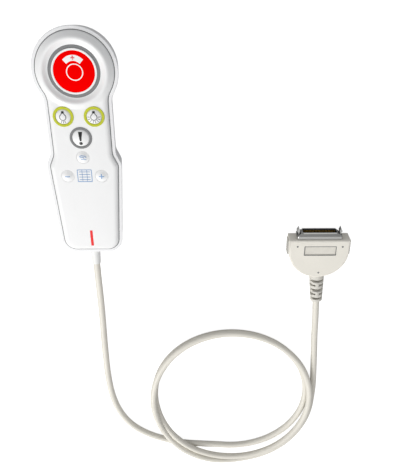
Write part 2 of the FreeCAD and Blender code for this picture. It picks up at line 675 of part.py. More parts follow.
def hood_blank(inset, low, high):
    """D-shaped plate: straight sides and a half-oval end."""
    half = HOOD_HALF - inset
    end_half = half - 0.4
    deep = HOOD_LONG - HOOD_STRAIGHT - inset
    front = -inset
    back_r, back_l = V(end_half, -HOOD_STRAIGHT, low), V(-end_half, -HOOD_STRAIGHT, low)
    curve = ellipse(V(0, -HOOD_STRAIGHT, low), end_half, deep)
    turns = sorted((curve.parameter(back_l), curve.parameter(back_r)))
    arc = curve.toShape(*turns)
    if arc.CenterOfMass.y > -HOOD_STRAIGHT:
        arc = curve.toShape(turns[1], turns[0] + 2 * math.pi)
    front_l, front_r = V(-half, front, low), V(half, front, low)
    edges = [Part.LineSegment(back_l, front_l).toShape(), Part.LineSegment(front_l, front_r).toShape(),
             Part.LineSegment(front_r, back_r).toShape(), arc]
    wire = Part.Wire(Part.__sortEdges__(edges))
    return Part.Face(wire).extrude(V(0, 0, high - low))


def shell_section(inset, low_y, high_y):
    """D-section of the connector, extruded along the plug's axis."""
    half = SHELL_HALF - inset
    tall = SHELL_TALL / 2 - inset
    lean = 0.8
    corners = [V(-half, low_y, PLUG_Z + tall), V(half, low_y, PLUG_Z + tall),
               V(half - lean, low_y, PLUG_Z - tall), V(-half + lean, low_y, PLUG_Z - tall)]
    body = Part.Face(Part.makePolygon(corners + [corners[0]])).extrude(V(0, high_y - low_y, 0))
    long_edges = [e for e in body.Edges if abs(e.Vertexes[0].Point.y - e.Vertexes[-1].Point.y) > 1e-6]
    return body.makeFillet(max(1.4 - inset, 0.5), long_edges)


def latch_slots(gap, low_y, high_y):
    """Room for both latch arms through the hood's front and the flange."""
    inner = LATCH_X - LATCH_T / 2 - 1.0 - gap
    outer = LATCH_X + LATCH_T / 2 + 0.3 + gap
    half_tall = LATCH_TALL / 2 + 0.3
    return [block(min(side * inner, side * outer), max(side * inner, side * outer), low_y, high_y,
                  PLUG_Z - half_tall, PLUG_Z + half_tall) for side in (-1, 1)]


def hood_screw_places():
    return [(side * 12.5, -(LATCH_BACK + 1.0)) for side in (-1, 1)]


def hood():
    """Whole hollow hood, split later at its middle plane."""
    body = hood_blank(0, 0, HOOD_T)
    outer_edges = [e for e in body.Edges if abs(e.BoundBox.ZMax - e.BoundBox.ZMin) < 1e-6]
    body = body.makeFillet(HOOD_EDGE, outer_edges)
    hollow = hood_blank(HOOD_WALL, HOOD_WALL, HOOD_T - HOOD_WALL)
    body = body.cut(hollow)
    pin_y = -LATCH_BACK
    low_boss = HOOD_WALL + 2.6
    bosses = []
    for x in (-LATCH_X, LATCH_X):
        bosses.append(cylinder(x, pin_y, HOOD_WALL - 0.2, low_boss, 2.2))
        bosses.append(cylinder(x, pin_y, HOOD_T - low_boss, HOOD_T - HOOD_WALL + 0.2, 2.2))
    for x, y in hood_screw_places():
        bosses.append(cylinder(x, y, HOOD_WALL - 0.2, HOOD_T - HOOD_WALL + 0.2, 2.7))
    body = joined([body] + bosses)
    window = block(-HOOD_HALF - 2, HOOD_HALF + 2, -PAD_LONG - 2.3, -1.3,
                   PLUG_Z - PAD_TALL / 2 - 0.2, PLUG_Z + PAD_TALL / 2 + 0.2)
    window = window.cut(block(-HOOD_HALF + HOOD_WALL + 0.8, HOOD_HALF - HOOD_WALL - 0.8, -100, 0, -1, HOOD_T + 1))
    cuts = [window, shell_section(SHELL_WALL - FIT_GAP, -HOOD_WALL - 1, 1)]
    cuts += latch_slots(0.0, -HOOD_WALL - 1, 1)
    cuts.append(block(*LABEL_X, *LABEL_Y, HOOD_T - LABEL_DEEP, HOOD_T + 1))
    cuts += [cylinder(x, y, HOOD_T - DIMPLE_DEEP, HOOD_T + 1, DIMPLE_R) for x, y in DIMPLES]
    cuts += [cylinder(x, pin_y, HOOD_WALL - 1, HOOD_T - HOOD_WALL + 1, LATCH_PIN_R + FIT_GAP)
             for x in (-LATCH_X, LATCH_X)]
    for x, y in hood_screw_places():
        cuts.append(cylinder(x, y, -1, PLUG_Z, SCREW_R + 0.2))
        cuts.append(cylinder(x, y, PLUG_Z - 1, HOOD_T - HOOD_WALL, SCREW_R + FIT_GAP))
        cuts.append(cylinder(x, y, -1, SCREW_SUNK + SCREW_HEAD_H, SCREW_HEAD_R - 0.3))
    cuts.append(leaned(plug_boot_body(FIT_GAP)))
    return without(body, cuts)


def along_plug(low_y, high_y, radius):
    return Part.makeCylinder(radius, high_y - low_y, V(0, low_y, PLUG_Z), V(0, 1, 0))


def plug_boot_body(gap):
    """Boot without its bore and slots, grown by a gap for the seat in the hood."""
    inner_y = -HOOD_LONG + HOOD_WALL + 0.4
    shoulder_y = -HOOD_LONG - 0.2
    tip_y = shoulder_y - PLUG_BOOT_LONG
    neck = PLUG_BOOT_ROOT_R - 1.2
    flange = PLUG_BOOT_ROOT_R - 0.4
    shape = [(0, tip_y - gap), (PLUG_BOOT_TIP_R + gap, tip_y - gap), (PLUG_BOOT_ROOT_R + gap, shoulder_y - 3),
             (PLUG_BOOT_ROOT_R + gap, shoulder_y + gap), (neck + gap, shoulder_y + gap), (neck + gap, inner_y - gap),
             (flange + gap, inner_y - gap), (flange + gap, inner_y + 1.6 + gap), (0, inner_y + 1.6 + gap)]
    return spun(shape, (0, 0, PLUG_Z), (0, 1, 0), (1, 0, 0))


def plug_boot():
    """Ribbed boot: rings of slots let it bend."""
    body = plug_boot_body(0)
    shoulder_y = -HOOD_LONG - 0.2
    cuts = []
    for ring in range(PLUG_BOOT_RINGS):
        along = SLOT_FROM_HOOD + SLOT_PITCH * ring
        y = shoulder_y - along
        taper = (PLUG_BOOT_ROOT_R - PLUG_BOOT_TIP_R) * along / PLUG_BOOT_LONG
        floor_r = PLUG_BOOT_ROOT_R - taper - SLOT_CUT
        groove = along_plug(y - SLOT_W / 2, y + SLOT_W / 2, 2 * PLUG_BOOT_ROOT_R)
        groove = groove.cut(along_plug(y - SLOT_W, y + SLOT_W, floor_r))
        bridge_turn = 90 * (ring % 2)
        bridge = block(-20, 20, y - SLOT_W, y + SLOT_W, PLUG_Z - SLOT_BRIDGE / 2, PLUG_Z + SLOT_BRIDGE / 2)
        bridge.rotate(V(0, 0, PLUG_Z), V(0, 1, 0), bridge_turn)
        cuts.append(groove.cut(bridge))
    cuts.append(along_plug(-100, 0, CORD_R + FIT_GAP))
    return leaned(without(body, cuts))


def connector_shell():
    flange = block(-FLANGE_HALF, FLANGE_HALF, FIT_GAP, FLANGE_OUT, PLUG_Z - FLANGE_TALL / 2, PLUG_Z + FLANGE_TALL / 2)
    upright = [e for e in flange.Edges if abs(e.Vertexes[0].Point.y - e.Vertexes[-1].Point.y) > 1]
    flange = flange.makeFillet(1.2, upright)
    rings = []
    for y, half, tall in ((FLANGE_OUT, FLANGE_HALF - FLARE_IN, FLANGE_TALL - FLARE_IN),
                          (SHELL_OUT - FLARE_BELOW_MOUTH, SHELL_HALF + FIT_GAP, SHELL_TALL + 2 * FIT_GAP)):
        corners = [V(x, y, PLUG_Z + z) for x, z in ((-half, -tall / 2), (half, -tall / 2),
                                                   (half, tall / 2), (-half, tall / 2))]
        rings.append(Part.makePolygon(corners + [corners[0]]))
    flare = Part.makeLoft(rings, True, True)
    body = joined([flange, flare, shell_section(0, FIT_GAP, SHELL_OUT)])
    return without(body, [shell_section(SHELL_WALL, -1, SHELL_OUT + 1)] + latch_slots(0.2, -1, SHELL_OUT + 1))


def connector_contacts():
    first = -CONTACT_PITCH * (CONTACTS_PER_ROW - 1) / 2
    contacts = []
    for row in (-1, 1):
        inner = PLUG_Z + row * (SLOT_TALL / 2 - CONTACT_PROUD)
        outer = PLUG_Z + row * (SLOT_TALL / 2 + 0.2)
        for way in range(CONTACTS_PER_ROW):
            x = first + CONTACT_PITCH * way
            contacts.append(block(x - 0.25, x + 0.25, -12.5, 5.0, min(inner, outer), max(inner, outer)))
    return contacts


def connector_insulator():
    body = shell_section(SHELL_WALL + FIT_GAP, -10.0, SHELL_OUT - 0.5)
    mouth = SHELL_OUT - 0.5
    slot = block(-SLOT_HALF, SLOT_HALF, mouth - SLOT_DEEP, mouth + 1, PLUG_Z - SLOT_TALL / 2, PLUG_Z + SLOT_TALL / 2)
    return without(body, [slot] + connector_contacts())


def latch(side):
    """Spring-steel arm with an eye round its pin and a barbed hook at the tip."""
    inner, outer = LATCH_X - LATCH_T / 2, LATCH_X + LATCH_T / 2
    shape = [(inner, -LATCH_BACK), (inner, LATCH_OUT - 4.4), (inner - 0.4, LATCH_OUT - 3.2), (LATCH_X, LATCH_OUT),
             (outer + 1.0, LATCH_OUT - 3.2), (outer, LATCH_OUT - 4.4), (outer, -LATCH_BACK)]
    low = PLUG_Z - LATCH_TALL / 2
    corners = [V(side * x, y, low) for x, y in shape]
    arm = Part.Face(Part.makePolygon(corners + [corners[0]])).extrude(V(0, 0, LATCH_TALL))
    eye = cylinder(side * LATCH_X, -LATCH_BACK, low, low + LATCH_TALL, 2.2)
    hole = cylinder(side * LATCH_X, -LATCH_BACK, low - 1, low + LATCH_TALL + 1, LATCH_PIN_R + FIT_GAP)
    return joined([arm, eye]).cut(hole)


def squeeze_pad(side):
    """Ribbed thumb pad that presses the latch arm inwards."""
    outer = HOOD_HALF + PAD_PROUD
    inner = HOOD_HALF - HOOD_WALL + 1.0
    low, high = PLUG_Z - PAD_TALL / 2, PLUG_Z + PAD_TALL / 2
    face = block(inner, outer, -PAD_LONG - 1.8, -1.8, low, high)
    upright = [e for e in face.Edges if abs(e.Vertexes[0].Point.x - e.Vertexes[-1].Point.x) > 1]
    face = face.makeFillet(1.0, upright)
    ribs = []
    for rib in range(5):
        y = -3.9 - 2.3 * rib
        ribs.append(block(outer - 0.5, outer + 1, y - 0.6, y + 0.6, low - 1, high + 1))
    face = without(face, ribs)
    arm_x = LATCH_X + LATCH_T / 2 + 0.02
    tongue = block(arm_x, inner + 0.5, -11.0, -7.0, PLUG_Z - LATCH_TALL / 2, PLUG_Z + LATCH_TALL / 2)
    pad = joined([face, tongue])
    if side < 0:
        pad = pad.mirror(V(0, 0, 0), V(1, 0, 0))
    return pad


def latch_pins():
    return [cylinder(x, -LATCH_BACK, HOOD_WALL + 0.1, HOOD_T - HOOD_WALL - 0.1, LATCH_PIN_R)
            for x in (-LATCH_X, LATCH_X)]


def latch_springs():
    """Leaf springs between the connector body and the latch arms."""
    x = SHELL_HALF - 0.4
    return [block(min(side * x, side * (x + 0.3)), max(side * x, side * (x + 0.3)), -19.0, -8.0,
                  PLUG_Z - 2, PLUG_Z + 2) for side in (-1, 1)]


def plug_clamp():
    """Two saddles that grip the cord inside the hood."""
    low_y = -HOOD_LONG + PLUG_CLAMP_FROM_END
    high_y = low_y + PLUG_CLAMP_LONG
    half = 7.0
    low, high = HOOD_WALL + 0.1, HOOD_T - HOOD_WALL - 0.1
    bore = along_plug(low_y - 1, high_y + 1, CORD_R + FIT_GAP)
    lower = block(-half, half, low_y, high_y, low, PLUG_Z - FIT_GAP).cut(bore)
    upper = block(-half, half, low_y, high_y, PLUG_Z + FIT_GAP, high).cut(bore)
    return [leaned(lower), leaned(upper)]


def plug_wires():
    pairs = []
    for way in range(6):
        angle = 2 * math.pi * way / 6
        x = -7.5 + 3.0 * way
        pairs.append(((1.9 * math.cos(angle), -19.4, PLUG_Z + 1.9 * math.sin(angle)), (x, -12.8, PLUG_Z)))
    return wires(pairs)


# ---------------------------------------------------------------- build
def build():
    os.makedirs("parts", exist_ok=True)
    save("rear_housing", rear_housing())
    save("front_cover", front_cover())
    save("housing_seal", housing_seal())
    cap, ring, bezel = call_parts()
    save("call_button", cap)
    save("call_light_ring", ring)
    save("call_bezel", bezel)
    save("call_spring", call_spring())
    save("call_switch", call_switch())
    lowered = UNDER_Z - 1.0
    for name, (x, y) in LIGHT_PLACES.items():
        save(f"{name}_ring", trim_ring(x, y, LIGHT_RING_R, LIGHT_R + SLIDE_GAP))
        save(f"{name}_button", key(x, y, LIGHT_R, lowered, DOME_H + LIGHT_DOME_MORE))
    save("alert_ring", trim_ring(*ALERT_PLACE, ALERT_RING_R, ALERT_R + SLIDE_GAP))
    save("alert_button", key(*ALERT_PLACE, ALERT_R, lowered, DOME_H + LIGHT_DOME_MORE))
    for name, (x, y) in KEY_PLACES.items():
        save(name, key(x, y, KEY_R, UNDER_Z - LAYER_GAP, DOME_H))
    save("keypad_mat", keypad_mat())
    save("snap_domes", snap_domes())
    save("circuit_board", circuit_board())
    save("indicator_lights", indicator_lights())
    save("terminal_block", terminal_block())
    save("controller_chip", controller_chip())
    save("housing_screws", [screw(x, y, SCREW_SUNK + SCREW_HEAD_H, BOARD_Z + SCREW_BITE - SCREW_HEAD_H - 1.5,
                                  SCREW_R, SCREW_HEAD_R, SCREW_HEAD_H) for x, y in CASE_SCREWS])
    save("board_screws", [screw(x, y, BOARD_Z - 0.02, BOARD_T + 4, BOARD_SCREW_R, BOARD_SCREW_HEAD_R,
                                BOARD_SCREW_HEAD_H) for x, y in BOARD_SCREWS])
    save("handset_boot", handset_boot())
    save("handset_cord_end", cord_cylinder(LEAD_POINTS[0][1], CLAMP_Y + CLAMP_LONG + 2.5, CORD_R))
    save("handset_cord_clamp", handset_clamp())
    save("handset_clamp_screws", clamp_screws())
    save("handset_wires", handset_wires())

    save("cord_lead", smooth_tube(LEAD_POINTS, CORD_R, "cord_lead"))
    save("cord_coil", cord_coil())
    save("cord_tail", smooth_tube(TAIL_POINTS, CORD_R, "cord_tail"))

    whole_hood = hood()
    upper_half = block(-100, 100, -100, 50, PLUG_Z, HOOD_T + 10)
    save("plug_hood_front", at_plug(whole_hood.common(upper_half)))
    save("plug_hood_rear", at_plug(whole_hood.cut(upper_half)))
    save("plug_boot", at_plug(plug_boot()))
    save("plug_cord_end", at_plug(leaned(along_plug(-PLUG_CORD_END, -TILT_FROM, CORD_R))))
    save("plug_cord_clamp", [at_plug(piece) for piece in plug_clamp()])
    save("plug_wires", [at_plug(piece) for piece in plug_wires()])
    save("hood_screws", [at_plug(screw(x, y, SCREW_SUNK + SCREW_HEAD_H, HOOD_T - HOOD_SCREW_SHORT, SCREW_R,
                                       SCREW_HEAD_R - 0.4, SCREW_HEAD_H)) for x, y in hood_screw_places()])
    save("connector_shell", at_plug(connector_shell()))
    save("connector_insulator", at_plug(connector_insulator()))
    save("connector_contacts", [at_plug(piece) for piece in connector_contacts()])
    for name, side in (("left", -1), ("right", 1)):
        save(f"{name}_latch", at_plug(latch(side)))
        save(f"{name}_squeeze_button", at_plug(squeeze_pad(side)))
    save("latch_pins", [at_plug(piece) for piece in latch_pins()])
    save("latch_springs", [at_plug(piece) for piece in latch_springs()])


build()
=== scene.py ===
# %% [markdown]
# # A patient handset on a looped cord with a D-shaped plug
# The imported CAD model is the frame: it fixes every size, place and joint. This lesson adds what CAD
# left plain, piece by piece: smooth moulded skins, printed symbols, the cord and every finish.

# %% Load the frame
import json
import math

import bmesh
import bpy
import numpy as np
from mathutils import Matrix, Vector


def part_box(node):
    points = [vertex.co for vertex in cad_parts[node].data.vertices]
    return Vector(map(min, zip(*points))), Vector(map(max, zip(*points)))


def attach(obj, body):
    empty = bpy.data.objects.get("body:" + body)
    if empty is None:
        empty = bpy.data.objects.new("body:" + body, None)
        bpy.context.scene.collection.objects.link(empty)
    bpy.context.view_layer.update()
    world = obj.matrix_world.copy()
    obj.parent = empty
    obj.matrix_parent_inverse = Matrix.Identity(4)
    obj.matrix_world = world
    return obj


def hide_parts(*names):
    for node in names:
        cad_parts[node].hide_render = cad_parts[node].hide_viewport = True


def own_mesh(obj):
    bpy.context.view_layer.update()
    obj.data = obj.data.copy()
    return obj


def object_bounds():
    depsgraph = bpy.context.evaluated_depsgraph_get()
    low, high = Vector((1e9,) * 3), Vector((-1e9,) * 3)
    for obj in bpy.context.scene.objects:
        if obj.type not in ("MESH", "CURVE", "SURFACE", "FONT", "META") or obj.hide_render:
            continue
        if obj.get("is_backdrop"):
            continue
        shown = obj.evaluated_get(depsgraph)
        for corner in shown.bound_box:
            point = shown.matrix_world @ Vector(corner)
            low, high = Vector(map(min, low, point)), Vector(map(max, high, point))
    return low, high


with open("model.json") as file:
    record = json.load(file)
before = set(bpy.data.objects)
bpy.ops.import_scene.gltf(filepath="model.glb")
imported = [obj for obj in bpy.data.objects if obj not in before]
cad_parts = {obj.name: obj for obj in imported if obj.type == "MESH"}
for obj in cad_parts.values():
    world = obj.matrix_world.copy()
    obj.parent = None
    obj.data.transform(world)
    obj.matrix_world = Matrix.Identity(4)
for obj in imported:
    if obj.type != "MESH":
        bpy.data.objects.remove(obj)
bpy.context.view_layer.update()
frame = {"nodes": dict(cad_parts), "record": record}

# %% [markdown]
# ## Units and places
# Blender works in metres here, but a hand-held control is easier to think of in millimetres. Shapes are
# worked out in millimetres and multiplied by MM once, when they become a mesh. Places come from the
# boxes of the CAD nodes, so they follow the CAD model.

# %% Millimetres and CAD boxes
MM = 0.001


def span(node):
    """Lowest and highest corner of a CAD node, in millimetres."""
    low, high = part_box(node)
    return np.array(low) / MM, np.array(high) / MM


def middle(node):
    """Centre of a CAD node seen from above, in millimetres."""
    low, high = span(node)
    return (low[:2] + high[:2]) / 2


RIM_DROP, GUARD_H, LIP = 2.5, 2.2, 3.2
RIM_Z = span("rear_housing")[1][2]
FACE_Z = RIM_Z + RIM_DROP
FRONT_Y, END_Y = span("rear_housing")[1][1], span("rear_housing")[0][1]
HEAD_R = span("rear_housing")[1][0]
HEAD = np.array([0.0, FRONT_Y - HEAD_R])
CORD_R = 3.1
print(f"handset {FRONT_Y - END_Y:.1f} mm long, head radius {HEAD_R:.1f}, face at {FACE_Z:.1f}")

# %% [markdown]
# ## Camera
# The view is from above the open side of the loop, looking down at about 62 degrees. The lens is given
# by its angle: 600 picture units of focal length over the 475 units of the picture's taller side.

# %% Camera
CAMERA_PLACE = Vector((0.0960, 0.1580, 0.4728))
LOOK = Vector((0.0075, -0.4655, -0.8850)).normalized()
FOCAL, TALL_SIDE, SENSOR = 600.0, 475.0, 36.0

camera_data = bpy.data.cameras.new("camera")
camera_data.sensor_width = SENSOR
camera_data.lens = FOCAL / TALL_SIDE * SENSOR
camera_data.clip_start = 0.01
camera = bpy.data.objects.new("camera", camera_data)
right = LOOK.cross(Vector((0, 1, 0))).normalized()
upwards = right.cross(LOOK)
camera.matrix_world = Matrix.Translation(CAMERA_PLACE) @ Matrix((right, upwards, -LOOK)).transposed().to_4x4()
bpy.context.scene.collection.objects.link(camera)
bpy.context.scene.camera = camera

# %% [markdown]
# ## Floor and light
# Everything lies on a pale floor. One large soft lamp stands low on the cord's side of the handset, so
# that the raised guard and the domed keys turn grey on their far side, and the sky fills the rest.

# %% Floor, sky and lamps
floor_mesh = bpy.data.meshes.new("floor")
FLOOR_HALF = 4.0
floor_mesh.from_pydata([(-FLOOR_HALF, -FLOOR_HALF, 0), (FLOOR_HALF, -FLOOR_HALF, 0),
                        (FLOOR_HALF, FLOOR_HALF, 0), (-FLOOR_HALF, FLOOR_HALF, 0)], [], [(0, 1, 2, 3)])
floor = bpy.data.objects.new("floor", floor_mesh)
floor.location.z = -0.0002
bpy.context.scene.collection.objects.link(floor)
floor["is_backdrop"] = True

SKY_DIM, SKY_BRIGHT = 0.33, 0.63
BRIGHT_SIDE = (-0.62, -0.62, 0.48)
world = bpy.data.worlds.new("studio")
world.use_nodes = True
sky = world.node_tree
sky.nodes["Background"].inputs["Color"].default_value = (0.98, 0.99, 1.0, 1)
way = sky.nodes.new("ShaderNodeTexCoord").outputs["Generated"]
facing = sky.nodes.new("ShaderNodeVectorMath")
facing.operation = "DOT_PRODUCT"
facing.inputs[1].default_value = BRIGHT_SIDE
level = sky.nodes.new("ShaderNodeMapRange")
for socket, value in (("From Min", -1.0), ("From Max", 1.0), ("To Min", SKY_DIM), ("To Max", SKY_BRIGHT)):
    level.inputs[socket].default_value = value
sky.links.new(way, facing.inputs[0])
sky.links.new(facing.outputs["Value"], level.inputs["Value"])
backdrop = sky.nodes.new("ShaderNodeMath")
backdrop.operation = "MAXIMUM"
sky.links.new(level.outputs["Result"], backdrop.inputs[0])
sky.links.new(sky.nodes.new("ShaderNodeLightPath").outputs["Is Camera Ray"], backdrop.inputs[1])
sky.links.new(backdrop.outputs[0], sky.nodes["Background"].inputs["Strength"])
bpy.context.scene.world = world
bpy.context.scene.view_settings.view_transform = "Standard"


def soft_lamp(name, place, target, side, watts, colour=(1, 1, 1)):
    """Square area lamp that faces a target, all in metres."""
    data = bpy.data.lights.new(name, "AREA")
    data.size, data.energy, data.color = side, watts, colour
    lamp = bpy.data.objects.new(name, data)
    lamp.location = place
    lamp.rotation_euler = (Vector(target) - Vector(place)).to_track_quat("-Z", "Y").to_euler()
    bpy.context.scene.collection.objects.link(lamp)


soft_lamp("key_lamp", (-0.75, -0.95, 0.95), (0.05, -0.05, 0), 0.7, 13.5, (1, 0.99, 0.97))
soft_lamp("top_lamp", (0.1, -0.3, 1.5), (0.1, -0.1, 0), 1.2, 3)

# %% [markdown]
# ## From arrays to a mesh
# A shape here is a grid of points: rows run along a profile and columns run round it. A closed profile
# wraps its rows, a closed outline wraps its columns, and an open end gets a flat cap. Points that fall
# together, as at the pole of a dome, are merged, and then the normals are turned outwards.

# %% Grid helpers
SHARP = math.radians(38)


def grid_faces(rows, columns, wrap_rows, wrap_columns):
    """Quads between neighbours of a rows by columns grid of points."""
    i, j = np.meshgrid(np.arange(rows - (not wrap_rows)), np.arange(columns - (not wrap_columns)), indexing="ij")
    below, beside = (i + 1) % rows, (j + 1) % columns
    corners = [i * columns + j, i * columns + beside, below * columns + beside, below * columns + j]
    return np.stack(corners, -1).reshape(-1, 4).tolist()


def surface(grid, wrap_rows=False, wrap_columns=True, caps=False):
    """Points and faces of a grid of shape (rows, columns, 3); caps closes the first and last row."""
    rows, columns = grid.shape[:2]
    faces = grid_faces(rows, columns, wrap_rows, wrap_columns)
    if caps:
        faces += [list(range(columns)), list(range((rows - 1) * columns, rows * columns))]
    return grid.reshape(-1, 3), faces


def mesh_of(name, surfaces, merge=0.002):
    """One mesh from several closed surfaces in millimetres, smooth except at sharp edges."""
    start, points, faces = 0, [], []
    for some_points, some_faces in surfaces:
        points.append(some_points)
        faces += [[corner + start for corner in face] for face in some_faces]
        start += len(some_points)
    mesh = bpy.data.meshes.new(name)
    mesh.from_pydata((np.concatenate(points) * MM).tolist(), [], faces)
    tidy_mesh(mesh, merge * MM)
    return mesh


def tidy_mesh(mesh, merge):
    """Merge doubled points, turn the faces outwards and shade it smooth between sharp edges."""
    work = bmesh.new()
    work.from_mesh(mesh)
    bmesh.ops.remove_doubles(work, verts=work.verts, dist=merge)
    bmesh.ops.dissolve_degenerate(work, edges=work.edges, dist=merge / 10)
    bmesh.ops.recalc_face_normals(work, faces=work.faces)
    work.to_mesh(mesh)
    work.free()
    mesh.shade_smooth()
    mesh.set_sharp_from_angle(angle=SHARP)


def new_piece(name, mesh, material, body, nodes=()):
    """Object at the origin that rides on a body and stands for CAD nodes."""
    piece = bpy.data.objects.new(name, mesh)
    bpy.context.scene.collection.objects.link(piece)
    mesh.materials.clear()
    mesh.materials.append(material)
    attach(piece, body)
    if nodes:
        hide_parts(*nodes)
    return piece


# %% [markdown]
# ## Profiles and turned shapes
# Buttons, rings and boots are turned shapes: a profile of radius and height carried round an axis. A
# moulded edge is never sharp, so each corner of a profile is replaced by a short curve.

# %% Rounded profiles and turning
def rounded(profile, radius, steps=4, closed=False):
    """Replace each corner C by the curve (1-t)^2 A + 2t(1-t) C + t^2 B, where A and B lie on the two
    sides, a radius from C or 0.45 of the side where that is shorter."""
    corner = np.asarray(profile, float)
    before, after = np.roll(corner, 1, 0), np.roll(corner, -1, 0)
    if not closed:
        before[0], after[-1] = corner[0], corner[-1]

    def along(other):
        way = other - corner
        length = np.linalg.norm(way, axis=1, keepdims=True)
        return corner + way * (np.minimum(radius, 0.45 * length) / np.maximum(length, 1e-9))

    t = np.linspace(0, 1, steps + 1)[None, :, None]
    a, b, c = along(before)[:, None], along(after)[:, None], corner[:, None]
    curve = (1 - t) ** 2 * a + 2 * t * (1 - t) * c + t ** 2 * b
    if closed:
        return curve.reshape(-1, 2)
    return np.concatenate([corner[:1], curve[1:-1].reshape(-1, 2), corner[-1:]])


def turned(profile, centre, sides=96, closed=False, along="z"):
    """Carry (radius, height) pairs round an axis: (cx + r cos a, cy + r sin a, h), or the same round a
    line along Y, where the centre is (x, z) and the height is y."""
    profile = np.asarray(profile, float)
    angle = np.linspace(0, 2 * np.pi, sides, endpoint=False)[None, :]
    radius, height = profile[:, :1], profile[:, 1:]
    across, up = centre[0] + radius * np.cos(angle), centre[1] + radius * np.sin(angle)
    height = np.broadcast_to(height, across.shape)
    order = (across, up, height) if along == "z" else (across, height, up)
    return surface(np.stack(order, -1), wrap_rows=closed)


def carve(mesh, cutters, operation="DIFFERENCE"):
    """Cut closed surfaces out of a mesh, or join them to it, with a Boolean that keeps it watertight."""
    body = bpy.data.objects.new("carved", mesh)
    tool = bpy.data.objects.new("carver", mesh_of("carver", cutters))
    for item in (body, tool):
        bpy.context.scene.collection.objects.link(item)
    cut = body.modifiers.new("cut", "BOOLEAN")
    cut.object, cut.operation, cut.solver = tool, operation, "MANIFOLD"
    bpy.context.view_layer.update()
    carved = bpy.data.meshes.new_from_object(body.evaluated_get(bpy.context.evaluated_depsgraph_get()))
    for item in (body, tool):
        bpy.data.objects.remove(item)
    tidy_mesh(carved, 0.001 * MM)
    return carved


def rod(x, y, low, high, radius, sides=64):
    return turned([(0, low), (radius, low), (radius, high), (0, high)], (x, y), sides)


# %% [markdown]
# ## Finishes
# Two node groups do the work that every moulded part shares. One gives a fine grain and slow, faint
# changes of tone in the plastic; the other paints a lighter colour on edges and a darker one in creases: painted
# highlight and painted shade.
# Each material keeps its own shader and its own plain numbers.

# %% Node group: moulded grain
def group_of(name, inputs, outputs):
    """Empty shader group with named sockets."""
    group = bpy.data.node_groups.new(name, "ShaderNodeTree")
    for socket, kind, value in inputs:
        made = group.interface.new_socket(socket, in_out="INPUT", socket_type=kind)
        made.default_value = value
    for socket, kind in outputs:
        group.interface.new_socket(socket, in_out="OUTPUT", socket_type=kind)
    return group, group.nodes.new("NodeGroupInput"), group.nodes.new("NodeGroupOutput")


def add(tree, kind, links=None, **values):
    """New node; values set its properties or its inputs, and links join its inputs to other sockets."""
    node = tree.nodes.new("ShaderNode" + kind)
    for name, value in values.items():
        if hasattr(node, name):
            setattr(node, name, value)
        else:
            node.inputs[name.replace("_", " ")].default_value = value
    for name, source in (links or {}).items():
        target = node.inputs[name] if isinstance(name, int) else node.inputs[name]
        tree.links.new(source, target)
    return node


def mix_colour(tree, factor, first, second):
    """Colour mix by a factor socket; first and second are sockets or colours."""
    node = tree.nodes.new("ShaderNodeMix")
    node.data_type = "RGBA"
    tree.links.new(factor, node.inputs["Factor"])
    for index, value in ((6, first), (7, second)):
        if isinstance(value, bpy.types.NodeSocket):
            tree.links.new(value, node.inputs[index])
        else:
            node.inputs[index].default_value = value
    return node.outputs[2]


FLOAT, COLOUR, NORMAL = "NodeSocketFloat", "NodeSocketColor", "NodeSocketVector"
grain, grain_in, grain_out = group_of(
    "moulded_grain",
    [("Colour", COLOUR, (0.8, 0.8, 0.8, 1)), ("Shade", COLOUR, (0.6, 0.6, 0.6, 1)), ("Tone", FLOAT, 0.1),
     ("Grain size", FLOAT, 3000.0), ("Depth", FLOAT, 0.1), ("Roughness", FLOAT, 0.4), ("Spread", FLOAT, 0.1)],
    [("Colour", COLOUR), ("Roughness", FLOAT), ("Normal", NORMAL)])
place = add(grain, "TexCoord").outputs["Object"]
fine = add(grain, "TexNoise", {"Vector": place, "Scale": grain_in.outputs["Grain size"]}, Detail=3.0)
slow = add(grain, "TexNoise", {"Vector": place}, Scale=55.0, Detail=4.0)
scuff = add(grain, "TexNoise", {"Vector": place}, Scale=420.0, Detail=6.0, Roughness=0.7)
tone = add(grain, "Math", {0: slow.outputs["Fac"], 1: grain_in.outputs["Tone"]}, operation="MULTIPLY")
tinted = mix_colour(grain, tone.outputs[0], grain_in.outputs["Colour"], grain_in.outputs["Shade"])
rough = add(grain, "Math", {0: scuff.outputs["Fac"], 1: grain_in.outputs["Spread"],
                            2: grain_in.outputs["Roughness"]}, operation="MULTIPLY_ADD")
bump = add(grain, "Bump", {"Height": fine.outputs["Fac"], "Strength": grain_in.outputs["Depth"]}, Distance=0.00004)
for socket, source in (("Colour", tinted), ("Roughness", rough.outputs[0]), ("Normal", bump.outputs["Normal"])):
    grain.links.new(source, grain_out.inputs[socket])

# %% Node group: painted highlights on edges and painted shade in creases
painted_light, painted_light_in, painted_light_out = group_of(
    "edge_and_crease",
    [("Colour", COLOUR, (0.8, 0.8, 0.8, 1)), ("Edge", COLOUR, (1, 1, 1, 1)), ("Dust", COLOUR, (0.5, 0.48, 0.44, 1)),
     ("Edge amount", FLOAT, 0.3), ("Dust amount", FLOAT, 0.3)],
    [("Colour", COLOUR)])
bend = add(painted_light, "NewGeometry").outputs["Pointiness"]
patch = add(painted_light, "TexNoise", {"Vector": add(painted_light, "TexCoord").outputs["Object"]}, Scale=260.0, Detail=5.0)
